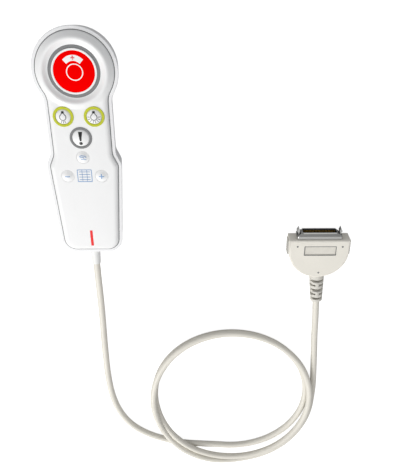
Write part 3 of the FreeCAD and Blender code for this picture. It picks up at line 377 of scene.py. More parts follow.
# Pointiness above one half marks convex edges, which get a lighter colour as painted highlight; below one half
# marks creases, which get a darker colour as painted shade.
for limits, amount, tint, source in (((0.51, 0.58), "Edge amount", "Edge", None),
                                     ((0.49, 0.42), "Dust amount", "Dust", "edge")):
    found = add(painted_light, "MapRange", {"Value": bend})
    found.inputs["From Min"].default_value, found.inputs["From Max"].default_value = limits
    broken = add(painted_light, "Math", {0: found.outputs[0], 1: patch.outputs["Fac"]}, operation="MULTIPLY")
    scaled = add(painted_light, "Math", {0: broken.outputs[0], 1: painted_light_in.outputs[amount]}, operation="MULTIPLY")
    scaled.use_clamp = True
    base = painted_light_in.outputs["Colour"] if source is None else painted_colour
    painted_colour = mix_colour(painted_light, scaled.outputs[0], base, painted_light_in.outputs[tint])
painted_light.links.new(painted_colour, painted_light_out.inputs["Colour"])


# %% Materials of moulded parts
def place_group(tree, group, links=None, **values):
    node = tree.nodes.new("ShaderNodeGroup")
    node.node_tree = group
    for name, value in values.items():
        node.inputs[name.replace("_", " ")].default_value = value
    for name, source in (links or {}).items():
        tree.links.new(source, node.inputs[name])
    return node


def rgb(red, green, blue):
    """Colour from 0 to 255 screen values, as the linear numbers that a shader takes."""
    value = np.array([red, green, blue]) / 255
    linear = np.where(value <= 0.04045, value / 12.92, ((value + 0.055) / 1.055) ** 2.4)
    return (*linear.tolist(), 1.0)


def moulded(name, colour, shade, roughness=0.38, spread=0.12, tone=0.25, grain_size=2600.0, depth=0.12,
            edge=0.25, crease_shadow=0.3, metallic=0.0, coat=0.0, specular=0.5):
    """Plastic, rubber or metal: grain, then painted highlight on edges and painted shade in creases, into one
    Principled shader.
    """
    material = bpy.data.materials.new(name)
    material.use_nodes = True
    tree = material.node_tree
    shader = tree.nodes["Principled BSDF"]
    base = place_group(tree, grain, Colour=colour, Shade=shade, Tone=tone, Grain_size=grain_size, Depth=depth,
                       Roughness=roughness, Spread=spread)
    # Painted highlight: edges a little lighter than the colour. Painted shade: creases darker than the shade
    # colour.
    edge_highlight = tuple(min(1.0, part * 1.12 + 0.02) for part in colour[:3]) + (1.0,)
    dark_crease_shadow = tuple(part * 0.55 for part in shade[:3]) + (1.0,)
    used = place_group(tree, painted_light, {"Colour": base.outputs["Colour"]}, Edge=edge_highlight, Dust=dark_crease_shadow,
                       Edge_amount=edge, Dust_amount=crease_shadow)
    tree.links.new(used.outputs["Colour"], shader.inputs["Base Color"])
    tree.links.new(base.outputs["Roughness"], shader.inputs["Roughness"])
    tree.links.new(base.outputs["Normal"], shader.inputs["Normal"])
    shader.inputs["Metallic"].default_value = metallic
    shader.inputs["Coat Weight"].default_value = coat
    shader.inputs["Specular IOR Level"].default_value = specular
    return material


finish = {
    "cover_plastic": moulded("cover_plastic", rgb(244, 244, 244), rgb(235, 235, 237), 0.36, coat=0.1),
    "housing_plastic": moulded("housing_plastic", rgb(241, 241, 242), rgb(230, 231, 233), 0.42),
    "key_plastic": moulded("key_plastic", rgb(246, 246, 246), rgb(236, 237, 239), 0.4),
    "red_plastic": moulded("red_plastic", rgb(255, 0, 0), rgb(246, 0, 0), 0.5, tone=0.2, specular=0.0),
    "light_ring_plastic": moulded("light_ring_plastic", rgb(250, 250, 250), rgb(240, 240, 240), 0.3),
    "grey_plastic": moulded("grey_plastic", rgb(128, 129, 130), rgb(104, 105, 107), 0.45),
    "lime_plastic": moulded("lime_plastic", rgb(196, 202, 14), rgb(172, 178, 6), 0.4),
    "silicone": moulded("silicone", rgb(205, 208, 208), rgb(180, 184, 186), 0.6, depth=0.05),
    "seal_rubber": moulded("seal_rubber", rgb(52, 52, 54), rgb(38, 38, 40), 0.75),
    "component_black": moulded("component_black", rgb(34, 34, 36), rgb(24, 24, 26), 0.5),
    "cord_jacket": moulded("cord_jacket", rgb(229, 225, 215), rgb(204, 200, 190), 0.42, tone=0.35, depth=0.2),
    "wire_jacket": moulded("wire_jacket", rgb(90, 120, 170), rgb(70, 96, 140), 0.4),
    "hood_plastic": moulded("hood_plastic", rgb(238, 234, 224), rgb(225, 221, 211), 0.46),
    "boot_plastic": moulded("boot_plastic", rgb(216, 213, 205), rgb(190, 186, 178), 0.52),
    "pad_plastic": moulded("pad_plastic", rgb(214, 212, 206), rgb(190, 188, 182), 0.5),
    "lens_clear": moulded("lens_clear", rgb(246, 240, 214), rgb(230, 222, 190), 0.2, coat=0.5),
    "steel": moulded("steel", rgb(188, 188, 186), rgb(150, 150, 150), 0.24, metallic=1.0, grain_size=900.0,
                     spread=0.2),
    "spring_steel": moulded("spring_steel", rgb(138, 139, 142), rgb(92, 94, 98), 0.3, metallic=1.0),
    "gold": moulded("gold", rgb(226, 186, 96), rgb(190, 148, 62), 0.3, metallic=0.6),
    "board": moulded("board", rgb(22, 96, 58), rgb(12, 66, 40), 0.35, tone=0.8, coat=0.4),
    "white_ink": moulded("white_ink", rgb(252, 252, 252), rgb(244, 244, 244), 0.5, edge=0, crease_shadow=0),
    "black_ink": moulded("black_ink", rgb(20, 20, 20), rgb(34, 34, 34), 0.5, edge=0, crease_shadow=0),
    # Grey ink prints the lamp symbols and also paints shade into the seam, the label's groove and the plug's
    # dimples.
    "grey_ink_and_shade": moulded("grey_ink_and_shade", rgb(96, 98, 100), rgb(120, 122, 124), 0.5, edge=0, crease_shadow=0),
    "blue_ink": moulded("blue_ink", rgb(128, 164, 208), rgb(150, 182, 216), 0.5, edge=0, crease_shadow=0),
    "red_ink": moulded("red_ink", rgb(246, 0, 6), rgb(200, 10, 24), 0.5, edge=0, crease_shadow=0),
    "boot_light": moulded("boot_light", rgb(238, 238, 236), rgb(224, 224, 222), 0.5),
    "slot_shade": moulded("slot_shade", rgb(128, 124, 116), rgb(112, 108, 100), 0.7, edge=0, crease_shadow=0),
    "studio_floor": moulded("studio_floor", rgb(200, 200, 200), rgb(197, 197, 197), 0.85, edge=0, crease_shadow=0),
}
PAPER_GLOW = 0.85
paper = finish["studio_floor"].node_tree
seen = paper.nodes.new("ShaderNodeLightPath").outputs["Is Camera Ray"]
glow = paper.nodes.new("ShaderNodeMath")
glow.operation = "MULTIPLY"
glow.inputs[1].default_value = PAPER_GLOW
paper.links.new(seen, glow.inputs[0])
paper.nodes["Principled BSDF"].inputs["Emission Color"].default_value = (1, 1, 1, 1)
paper.links.new(glow.outputs[0], paper.nodes["Principled BSDF"].inputs["Emission Strength"])
floor.data.materials.append(finish["studio_floor"])

# %% Every CAD node gets its finish first
slot_of = {part["node"]: part["material_slot"] for part in frame["record"]["subparts"]}
body_of = {node: body for body, nodes in frame["record"]["behaviour"]["bodies"].items() for node in nodes}
for name, node in frame["nodes"].items():
    node.data.materials.clear()
    node.data.materials.append(finish[slot_of[name]])

# %% [markdown]
# ## The cord
# The cord is one NURBS curve with a round section. Out of the handset and up to the plug its route is
# given points. Between them the loop is worked out: it is a spiral from the inner oval of the
# coil's ring to the outer one, with a steady growth. From where it meets the lead
# again it lies on the lead and on its own first turn, in one long hump.

# %% Loop of the cord
COIL_CENTRE, COIL_RADII = np.array([123.4, -275.9]), np.array([85.7, 93.7])
HOLE_CENTRE, HOLE_RADII = np.array([121.2, -268.2]), np.array([74.2, 72.0])
LOOP_START, LOOP_END, LOOP_STEP = -105.0, 705.0, 22.5
HUMP_CENTRE, HUMP_HALF, HUMP_FLAT = 412.5, 227.5, 187.5
HUMP_H = 2 * CORD_R + 0.2


def hump(angle, centre, half_width, half_flat):
    """1 on the flat top, falling to 0 by the smooth step w^2 (3 - 2w)."""
    w = np.clip((half_width - np.abs(angle - centre)) / (half_width - half_flat), 0, 1)
    return w * w * (3 - 2 * w)


angles = np.arange(LOOP_START, LOOP_END + 1, LOOP_STEP)
share = np.linspace(0, 1, len(angles))[:, None]
middles = (1 - share) * HOLE_CENTRE + share * COIL_CENTRE
reaches = (1 - share) * (HOLE_RADII + CORD_R) + share * (COIL_RADII - CORD_R)
turning = np.stack([np.cos(np.radians(angles)), np.sin(np.radians(angles))], axis=1)
rise = CORD_R + HUMP_H * hump(angles, HUMP_CENTRE, HUMP_HALF, HUMP_FLAT)
loop_points = [(x, y, z) for (x, y), z in zip(middles + reaches * turning, rise)]

# %% Cord curve
LEAD_POINTS = [(0.0, -0.096, 0.012), (0.0, -0.122, 0.012), (-0.0008, -0.148, 0.0066), (-0.0016, -0.174, 0.0031),
               (-0.0022, -0.211, 0.0031), (-0.002, -0.245, 0.0031), (0.0004, -0.272, 0.0031),
               (0.0066, -0.294, 0.0031), (0.018, -0.3125, 0.0031), (0.0345, -0.3255, 0.0031),
               (0.053, -0.3335, 0.0031), (0.072, -0.3388, 0.0031)]
TAIL_POINTS = [(0.2053, -0.262, 0.0031), (0.2041, -0.238, 0.0031), (0.2027, -0.214, 0.0031),
               (0.2013, -0.193, 0.0031), (0.1998, -0.172, 0.008), (0.1986, -0.152, 0.008)]

route = LEAD_POINTS + [tuple(part * MM for part in point) for point in loop_points] + TAIL_POINTS
cord_curve = bpy.data.curves.new("cord", "CURVE")
cord_curve.dimensions = "3D"
cord_line = cord_curve.splines.new("NURBS")
cord_line.points.add(len(route) - 1)
cord_line.points.foreach_set("co", np.array([(*point, 1.0) for point in route]).ravel())
cord_line.order_u = 3
cord_line.use_endpoint_u = True
cord_curve.resolution_u = 12
cord_curve.bevel_depth = CORD_R * MM
cord_curve.bevel_resolution = 6
cord_curve.use_fill_caps = True
cord_curve.materials.append(finish["cord_jacket"])
cord = bpy.data.objects.new("cord", cord_curve)
bpy.context.scene.collection.objects.link(cord)
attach(cord, "handset")
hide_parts("cord_lead", "cord_coil", "cord_tail")
print(f"cord route: {len(route)} points")

# %% [markdown]
# ## The handset's outline
# One outline serves the housing and the cover: a round head, hollow arcs into the neck, a straight neck,
# sloping shoulders and a tapering body with rounded corners. It is built from lines and arcs down the
# right side and mirrored. Each point keeps its outward normal, so a smaller outline is the same points
# moved inwards: P - inset * N. That keeps every wall and gap even, as an offset curve does.

# %% Outline from arcs and lines
NECK_HALF, SHOULDER_HALF, BOTTOM_HALF = 26.0, 30.2, 25.3
NECK_BLEND, SHOULDER_BLEND, CORNER_R = 14.0, 9.0, 13.0
SHOULDER_LOW, SHOULDER_RISE = 79.5, 9.0
OUTLINE_STEP = 1.3


def arc_points(centre, radius, start, end, hollow=False):
    """Points c + r (cos a, sin a) and their outward normals, which point inwards on a hollow arc."""
    count = max(3, int(abs(end - start) * radius / OUTLINE_STEP) + 1)
    angle = np.linspace(start, end, count)
    way = np.stack([np.cos(angle), np.sin(angle)], -1)
    return centre + radius * way, -way if hollow else way


def line_points(first, last):
    """Points between the ends of a straight side; walking down the right side, outside is to the left."""
    count = max(3, int(np.linalg.norm(last - first) / OUTLINE_STEP) + 1)
    share = np.linspace(0, 1, count)[1:-1, None]
    way = (last - first) / np.linalg.norm(last - first)
    return first + share * (last - first), np.broadcast_to([-way[1], way[0]], (count - 2, 2))


def right_side():
    """Points and normals from the top of the head to the middle of the cord end."""
    blend = np.array([NECK_HALF + NECK_BLEND, 0.0])
    blend[1] = HEAD[1] - math.sqrt((HEAD_R + NECK_BLEND) ** 2 - blend[0] ** 2)
    lean = math.atan2(blend[1] - HEAD[1], blend[0])
    shoulder_y = END_Y + SHOULDER_LOW
    corners = np.array([(NECK_HALF, blend[1]), (NECK_HALF, shoulder_y + SHOULDER_RISE),
                        (SHOULDER_HALF, shoulder_y), (BOTTOM_HALF, END_Y), (0, END_Y)])
    runs = [arc_points(HEAD, HEAD_R, math.pi / 2, lean),
            arc_points(blend, NECK_BLEND, lean + math.pi, math.pi, hollow=True)]
    last = corners[0]
    for index, radius in enumerate((-SHOULDER_BLEND, SHOULDER_BLEND, CORNER_R)):
        before, corner, after = corners[index:index + 3]
        way_in, way_out = ((b - a) / np.linalg.norm(b - a) for a, b in ((before, corner), (corner, after)))
        half_turn = math.acos(np.clip(way_in @ way_out, -1, 1)) / 2
        touch = corner - way_in * abs(radius) * math.tan(half_turn)
        out_in, out_out = np.array([-way_in[1], way_in[0]]), np.array([-way_out[1], way_out[0]])
        centre = touch - out_in * radius
        hollow = radius < 0
        flip = -1 if hollow else 1
        start, end = (math.atan2(flip * n[1], flip * n[0]) for n in (out_in, out_out))
        end = start + (end - start + math.pi) % (2 * math.pi) - math.pi
        runs += [line_points(last, touch), arc_points(centre, abs(radius), start, end, hollow)]
        last = runs[-1][0][-1]
    runs.append(line_points(last, corners[-1]))
    points = np.concatenate([run[0] for run in runs] + [corners[-1:]])
    normals = np.concatenate([run[1] for run in runs] + [np.array([[0.0, -1.0]])])
    keep = np.concatenate([[True], np.linalg.norm(np.diff(points, axis=0), axis=1) > 1e-4])
    return points[keep], normals[keep]


half_points, half_normals = right_side()
mirror = np.array([-1.0, 1.0])
outline = np.concatenate([half_points, (half_points * mirror)[-2:0:-1]])
normals = np.concatenate([half_normals, (half_normals * mirror)[-2:0:-1]])
print(f"outline: {len(outline)} points, {np.linalg.norm(np.diff(outline, axis=0), axis=1).sum():.0f} mm round")


def ring_at(inset, z):
    """Outline moved inwards, at a height that is one number or one for each point."""
    flat = outline - inset * normals
    return np.column_stack([flat, np.broadcast_to(z, len(flat))])


# %% [markdown]
# ## Rear housing
# The housing is a thin tray. Its profile starts on the back, turns up through a round edge, climbs the
# leaning wall to the rim, drops into the pocket that holds the cover and returns down the inside to the
# floor. Carrying that profile round the outline gives a closed wall; screw holes and pillars are cut and
# joined afterwards, because they don't follow the outline.

# %% Housing tray
DRAFT, BACK_EDGE, WALL, SEAM = 3.0, 5.0, 2.4, 0.25
LEDGE_Z, LEDGE_W, RIM_ROUND = RIM_Z - 4.5, 2.0, 0.9
SCREW_HOLE_R, SCREW_SEAT_R, SCREW_SEAT_Z = 1.5, 2.7, 3.0
PILLAR_R, PILLAR_TOP = 3.8, 12.4


def wall_inset(z):
    return DRAFT * (RIM_Z - z) / RIM_Z


turn = np.linspace(0, np.pi / 2, 9)
edge_z = BACK_EDGE * (1 - np.cos(turn))
back_edge = np.column_stack([wall_inset(edge_z) + BACK_EDGE * (1 - np.sin(turn)), edge_z])
inside = [(LIP - SEAM, RIM_Z), (LIP - SEAM, LEDGE_Z), (LIP + LEDGE_W, LEDGE_Z), (LIP + LEDGE_W, LEDGE_Z - LEDGE_W),
          (wall_inset(LEDGE_Z - 2 * LEDGE_W) + WALL, LEDGE_Z - 2 * LEDGE_W),
          (wall_inset(2 * WALL) + WALL, 2 * WALL), (wall_inset(WALL) + 2 * WALL, WALL)]
rim = rounded([back_edge[-1], (0.0, RIM_Z), inside[0]], RIM_ROUND, 5)
rim_profile = np.concatenate([back_edge[:-1], rim[:-1], rounded(inside, 0.3, 2)])
tray = np.stack([ring_at(inset, z) for inset, z in rim_profile])
tray_mesh = mesh_of("rear_housing_skin", [surface(tray, caps=True)])

screw_places = []
screw_mesh = frame["nodes"]["housing_screws"].data
screw_points = np.empty(len(screw_mesh.vertices) * 3)
screw_mesh.vertices.foreach_get("co", screw_points)
screw_points = screw_points.reshape(-1, 3)[:, :2] / MM
for side in (-1, 1):
    on_side = screw_points[screw_points[:, 0] * side > 0]
    gaps = np.sort(on_side[:, 1])
    breaks = np.concatenate([[0], np.where(np.diff(gaps) > 8)[0] + 1, [len(gaps)]])
    for first, last in zip(breaks, breaks[1:]):
        here = on_side[(on_side[:, 1] >= gaps[first]) & (on_side[:, 1] <= gaps[last - 1])]
        screw_places.append((here.min(0) + here.max(0)) / 2)
print("housing screws at", [place.round(1).tolist() for place in screw_places])

pillars = [rod(x, y, WALL / 2, PILLAR_TOP, PILLAR_R) for x, y in screw_places]
holes = [rod(x, y, -1, PILLAR_TOP + 1, SCREW_HOLE_R, 32) for x, y in screw_places]
seats = [rod(x, y, -1, SCREW_SEAT_Z, SCREW_SEAT_R, 48) for x, y in screw_places]
CORD_Z, CORD_HOLE_R = 12.0, 4.05
cord_hole = turned([(0, END_Y - 5), (CORD_HOLE_R, END_Y - 5), (CORD_HOLE_R, END_Y + 12), (0, END_Y + 12)],
                   (0, CORD_Z), 48, along="y")
tray_mesh = carve(tray_mesh, pillars, "UNION")
tray_mesh = carve(tray_mesh, holes)
tray_mesh = carve(tray_mesh, seats + [cord_hole])
new_piece("rear_housing_skin", tray_mesh, finish["housing_plastic"], "handset", ["rear_housing"])

# %% [markdown]
# ## Front cover
# The cover's height is a sum of two simple shapes: a soft quarter-round edge that depends on the
# distance from the outline, and a ring-shaped swelling round the call button, GUARD_H cos^2 of the distance
# from its crest. A sum of smooth shapes is smooth, so the guard melts into the edge as a moulding does.
# The grid runs from the call button's hole out along rays to the edge, down the skirt and back
# underneath, so it closes on itself; the small holes are cut afterwards in the flat part.

# %% Cover height
COVER_WALL, SOFT_EDGE, COVER_SIDE = 2.2, 4.0, 2.8
GUARD_CREST_R, GUARD_HALF = 24.0, 4.7
HOLE_R = span("call_bezel")[1][0] - 1.2 + 0.05
UNDER_Z, SKIRT_Z = FACE_Z - COVER_WALL, LEDGE_Z + 1.0


def guard(points):
    """H cos^2(pi/2 d/w), where d is the distance from the guard's crest circle."""
    away = np.abs(np.linalg.norm(points - HEAD, axis=-1) - GUARD_CREST_R) / GUARD_HALF
    return GUARD_H * np.cos(np.clip(away, 0, 1) * np.pi / 2) ** 2


# %% Paths across the flat part
# Each path runs from the guard's foot R through a middle point M to the soft edge B. Round the head all
# three lie on one ray. Down the body the rays would cross at the shoulders, so there M moves to a
# straight line beside the handset's axis, and R gathers at the foot's lowest part.
NECK_Y, BODY_Y, SPINE_X = -33.0, -50.0, 8.0
GATHER_FROM, GATHER_TO = math.radians(-76), math.radians(-90)


def smooth_step(share):
    share = np.clip(share, 0, 1)
    return share * share * (3 - 2 * share)


edge_ring = outline - (SOFT_EDGE + LIP) * normals
edge_half = edge_ring[:len(half_points)] - HEAD
edge_reach = np.linalg.norm(edge_half, axis=1)
foot_reach = np.minimum(GUARD_CREST_R + GUARD_HALF + 0.4, 0.97 * edge_reach)
body_share = smooth_step((NECK_Y - edge_half[:, 1]) / (NECK_Y - BODY_Y))
down = np.clip((BODY_Y - edge_half[:, 1]) / (BODY_Y - edge_half[-1, 1]), 0, 1)
along_edge = np.linspace(0, 1, len(edge_half))
gathered = GATHER_FROM + (GATHER_TO - GATHER_FROM) * np.where(down < 1, 0.9 * down, 0.9) + (GATHER_TO - GATHER_FROM) * 0.1 * smooth_step(
    (along_edge - along_edge[np.argmax(down >= 0.8)]) / (1 - along_edge[np.argmax(down >= 0.8)]))
ray = (1 - body_share) * np.arctan2(edge_half[:, 1], edge_half[:, 0]) + body_share * gathered
ray_way = np.column_stack([np.cos(ray), np.sin(ray)])
foot = ray_way * foot_reach[:, None]
spine = np.column_stack([np.minimum(0.45 * edge_half[:, 0], SPINE_X),
                         np.maximum(edge_half[:, 1], edge_half[-1, 1] + 14)])
halfway = (1 - body_share)[:, None] * (foot + edge_half) / 2 + body_share[:, None] * spine


def both_sides(half):
    """Right half about the head's centre, and its mirror image, as one ring in place."""
    return HEAD + np.concatenate([half, (half * mirror)[-2:0:-1]])


def flat_rings(height, count):
    """Rings from the call button's hole to the soft edge; height is a function of the points."""
    rings = []
    for share in np.linspace(0, 1, count):
        points = both_sides(ray_way * (HOLE_R + share * (foot_reach - HOLE_R))[:, None])
        rings.append(np.column_stack([points, height(points)]))
    points = both_sides(halfway)
    return rings + [np.column_stack([points, height(points)])]


# %% Cover grid
def top_height(points):
    return FACE_Z + guard(points)


rings = flat_rings(top_height, 22)
side_low = FACE_Z - COVER_SIDE
for angle in np.linspace(np.pi / 2, 0, 12):
    inset = LIP + SOFT_EDGE * (1 - math.cos(angle))
    points = outline - inset * normals
    rings.append(np.column_stack([points, side_low + COVER_SIDE * math.sin(angle) + guard(points)]))
skirt = rounded([(LIP, side_low - 0.5), (LIP, SKIRT_Z), (LIP + COVER_WALL - 0.4, SKIRT_Z), (LIP + COVER_WALL - 0.4, UNDER_Z)],
                0.3, 2)
rings += [ring_at(inset, z) for inset, z in skirt]
rings += flat_rings(lambda points: np.full(len(points), UNDER_Z), 3)[::-1]
cover_mesh = mesh_of("front_cover_skin", [surface(np.stack(rings), wrap_rows=True)])

# %% Holes for rings and keys
SLIDE_GAP = 0.15
holes_in_cover = []
for node, flange in (("reading_light_ring", 0.8), ("room_light_ring", 0.8), ("alert_ring", 0.8),
                     ("select_key", 1.1), ("volume_down_key", 1.1), ("volume_up_key", 1.1)):
    low, high = span(node)
    gap = 0.05 if "ring" in node else SLIDE_GAP
    holes_in_cover.append(rod(*middle(node), UNDER_Z - 2, FACE_Z + 3, (high[0] - low[0]) / 2 - flange + gap, 96))
cover_mesh = carve(cover_mesh, holes_in_cover)
posts = [turned([(1.25, PILLAR_TOP + 0.1), (2.8, PILLAR_TOP + 0.1), (2.8, UNDER_Z + 0.6), (1.25, UNDER_Z + 0.6)],
                place, 32, closed=True) for place in screw_places]
cover_mesh = carve(cover_mesh, posts, "UNION")
new_piece("front_cover_skin", cover_mesh, finish["cover_plastic"], "handset", ["front_cover"])

# %% [markdown]
# ## Buttons, keys and rings
# Each is a turned shape whose profile has the CAD node's levels, with rounded edges and a domed head.
# A dome is H (1 - (r/R)^2)^p: p = 1 gives a lens-like button, and p = 2 starts flat at the rim, so a
# key seems to grow out of the face. The printed symbols later use the same formula to lie on the dome.

# %% Domes
def dome(distance, radius, height, power=1.0):
    return height * np.clip(1 - (distance / radius) ** 2, 0, None) ** power


DOME_STEPS = 14


def domed_key(node, radius, flange_top, rim_z, height, power, edge=0.35):
    """Stem, flange behind the cover, and a domed head, as one closed turned surface."""
    stem_r, flange_r, stem_z = 2.4, radius + 1.1, span(node)[0][2]
    lower = rounded([(0, stem_z), (stem_r, stem_z), (stem_r, flange_top - 0.9), (flange_r, flange_top - 0.9),
                     (flange_r, flange_top), (radius, flange_top), (radius, rim_z)], 0.15, 2)
    r = np.linspace(radius, 0, DOME_STEPS)
    upper = np.column_stack([r, rim_z + edge * np.clip((radius - r) / edge, 0, 1) ** 0.5 + dome(r, radius, height, power)])
    return mesh_of(node + "_skin", [turned(np.concatenate([lower, upper[1:]]), middle(node), 96)])


LIGHT_R, ALERT_R, KEY_R, CALL_R, CALL_RING_R = 5.8, 6.7, 5.0, 15.35, 16.9
CALL_DOME, KEY_DOME, LIGHT_DOME = 0.8, 1.5, 1.5
LOWERED = UNDER_Z - 1.0
raised = {}
for node, radius, flange_top, rim_z, height, power, edge in (
        ("reading_light_button", LIGHT_R, LOWERED, FACE_Z, LIGHT_DOME, 1.0, 0.35),
        ("room_light_button", LIGHT_R, LOWERED, FACE_Z, LIGHT_DOME, 1.0, 0.35),
        ("alert_button", ALERT_R, LOWERED, FACE_Z, LIGHT_DOME, 1.0, 0.35),
        ("select_key", KEY_R, UNDER_Z - 0.1, FACE_Z - 0.1, KEY_DOME, 1.6, 0.1),
        ("volume_down_key", KEY_R, UNDER_Z - 0.1, FACE_Z - 0.1, KEY_DOME, 1.6, 0.1),
        ("volume_up_key", KEY_R, UNDER_Z - 0.1, FACE_Z - 0.1, KEY_DOME, 1.6, 0.1)):
    mesh = domed_key(node, radius, flange_top, rim_z, height, power, edge)
    new_piece(node + "_skin", mesh, finish["key_plastic"], body_of[node], [node])
    raised[node] = (radius, rim_z + edge, height, power)

# %% Call button: red cap, light ring and bezel
cap_z = FACE_Z + 0.2
r = np.linspace(CALL_R - 0.5, 0, 24)
cap_top = np.column_stack([r, cap_z + dome(r, CALL_R, CALL_DOME)])
cap_profile = rounded([(0, span("call_button")[0][2]), (2.4, span("call_button")[0][2]), (2.4, UNDER_Z + 0.1),
                       (CALL_R, UNDER_Z + 0.1), (CALL_R, cap_z), (CALL_R - 0.5, cap_top[0, 1])], 0.3, 4)
new_piece("call_button_skin", mesh_of("call_button_skin", [turned(np.concatenate([cap_profile, cap_top[1:]]), HEAD, 160)]),
          finish["red_plastic"], body_of["call_button"], ["call_button"])
raised["call_button"] = (CALL_R, cap_z, CALL_DOME, 1.0)


def ring_profile(inner, outer, low, high, flange_r, edge=0.25):
    """Trim ring with a flange behind the cover and softly rounded top edges."""
    lower = [(inner, low), (flange_r, low), (flange_r, low + 0.85), (outer, low + 0.85)]
    return rounded(lower + [(outer, high), (inner, high)], edge, 4, closed=True)


for node, inner, outer, top, flange in (
        ("call_bezel", CALL_RING_R + 0.15, HOLE_R - 0.05, FACE_Z - 0.1, 1.2),
        ("reading_light_ring", LIGHT_R + 0.15, 7.9, FACE_Z + 0.5, 0.8),
        ("room_light_ring", LIGHT_R + 0.15, 7.9, FACE_Z + 0.5, 0.8),
        ("alert_ring", ALERT_R + 0.15, 8.6, FACE_Z + 0.5, 0.8)):
    profile = ring_profile(inner, outer, UNDER_Z - 0.9, top, outer + flange)
    new_piece(node + "_skin", mesh_of(node + "_skin", [turned(profile, middle(node), 128, closed=True)]),
              finish[slot_of[node]], body_of[node], [node])

ring_low = UNDER_Z - 1.9
light_ring = rounded([(13.4, ring_low), (CALL_RING_R + 1.5, ring_low), (CALL_RING_R + 1.5, ring_low + 0.9),
                      (CALL_RING_R, ring_low + 0.9), (CALL_RING_R, FACE_Z + 0.4), (CALL_R + 0.05, FACE_Z + 0.4),
                      (CALL_R + 0.05, UNDER_Z + 0.05), (2.45, UNDER_Z + 0.05), (2.45, UNDER_Z - 0.8),
                      (13.4, UNDER_Z - 0.8)], 0.25, 4, closed=True)
new_piece("call_light_ring_skin", mesh_of("call_light_ring_skin", [turned(light_ring, HEAD, 160, closed=True)]),
          finish["light_ring_plastic"], body_of["call_light_ring"], ["call_light_ring"])

# %% [markdown]
# ## Printed symbols
# A symbol is a thin layer of ink. Each mark is a strip between two flat curves; the strip is laid on
# the button by giving each of its points the height of the dome below it, and it gets a small
# thickness, so that it is a closed body of its own and not a picture. The marks are plain pictograms.

# %% Strips and ink
INK_T, INK_SUNK = 0.07, 0.12


def circle(centre, radius, start=0.0, end=360.0, count=49):
    angle = np.radians(np.linspace(start, end, count))
    return np.array(centre) + radius * np.column_stack([np.cos(angle), np.sin(angle)])


def line(*corners, steps=8):
    """Points along a broken line through corners."""
    corners = np.array(corners, float)
    where = np.linspace(0, len(corners) - 1, (len(corners) - 1) * steps + 1)
    return np.column_stack([np.interp(where, np.arange(len(corners)), corners[:, axis]) for axis in (0, 1)])


def between(first, second, rows=4):
    """Strip (1 - v) A(u) + v B(u) between two curves with as many points."""
    v = np.linspace(0, 1, rows)[:, None, None]
    return (1 - v) * first + v * second


def stroke(path, width):
    """Strip of even width along a curve: A and B are the curve moved half a width to each side."""
    way = np.gradient(path, axis=0)
    if np.allclose(path[0], path[-1]):
        way[0] = way[-1] = path[1] - path[-2]
    side = np.column_stack([-way[:, 1], way[:, 0]]) / np.linalg.norm(way, axis=1, keepdims=True) * width / 2
    return between(path - side, path + side, 3)


def spot(centre, radius, count=33):
    return between(np.tile(np.array(centre, float), (count, 1)), circle(centre, radius, count=count))


def ink_body(strip, height):
    """Closed body of a strip: its top row by row, then its underside back, capped where it is open."""
    top = np.dstack([strip, height(strip) + INK_T])
    under = np.dstack([strip, height(strip) - INK_SUNK])
    loop = np.concatenate([top, under[::-1]]).transpose(1, 0, 2)
    return surface(loop, wrap_columns=True, caps=not np.allclose(strip[:, 0], strip[:, -1]))


def print_or_shade_on(name, strips, node, ink, centre=None, level=FACE_Z):
    """Ink on a raised key, or at a level where the node isn't a key; it lays printed symbols and also painted
    shade.
    """
    centre = middle(node) if centre is None else np.array(centre, float)

    def height(points):
        if node not in raised:
            return np.full(points.shape[:-1], level)
        radius, rim_z, tall, power = raised[node]
        return rim_z + dome(np.linalg.norm(points - middle(node), axis=-1), radius, tall, power)

    mesh = mesh_of(name, [ink_body(strip + centre, height) for strip in strips], merge=0.0005)
    piece = new_piece(name, mesh, finish[ink], body_of[node])
    return piece


# %% Call symbol: a head and a cap
head_ring = stroke(circle((0.6, -0.2), 5.9, count=73), 0.75)
cap_left, cap_right = line((-5.0, 5.8), (-7.6, 8.8)), line((5.0, 5.8), (7.6, 8.8))
brow = np.column_stack([np.linspace(-1, 1, 41), np.zeros(41)])
cap_low = np.column_stack([5.0 * brow[:, 0], 5.8 + 2.2 * (1 - brow[:, 0] ** 2)])
cap_high = np.column_stack([7.6 * brow[:, 0], 8.8 + 3.4 * (1 - np.abs(brow[:, 0]) ** 2.2)])
print_or_shade_on("call_symbol", [head_ring, between(cap_low, cap_high, 6)], "call_button", "white_ink")
cross = [stroke(line((-1.5, 0), (1.5, 0)), 0.9), stroke(line((0, -1.5), (0, 1.5)), 0.9)]
print_or_shade_on("call_symbol_cross", [strip + np.array([0.0, 10.2]) for strip in cross], "call_button", "red_ink")

# %% Lamp symbols
LAMP_R, LAMP_LINE = 2.4, 0.62
glass = stroke(circle((0, 0), LAMP_R, 120, 420, 41), LAMP_LINE)
neck = [stroke(line((side * 1.15, 2.1), (side * 0.85, 3.0)), LAMP_LINE) for side in (-1, 1)]
socket = between(line((-1.1, 2.9), (1.1, 2.9)), line((-0.9, 4.6), (0.9, 4.6)))


def rays(turns, inner, outer):
    ways = [np.array([math.cos(math.radians(t)), math.sin(math.radians(t))]) for t in turns]
    return [stroke(line(way * inner, way * outer), 0.5) for way in ways]


for node, turns in (("reading_light_button", (-70, -90, -110)),
                    ("room_light_button", (180, 0, -25, -155, -50, -130, -77, -103))):
    print_or_shade_on(node + "_symbol", [glass, *neck, *rays(turns, 3.1, 5.0)], node, "grey_ink_and_shade")
    print_or_shade_on(node + "_socket", [socket], node, "black_ink")

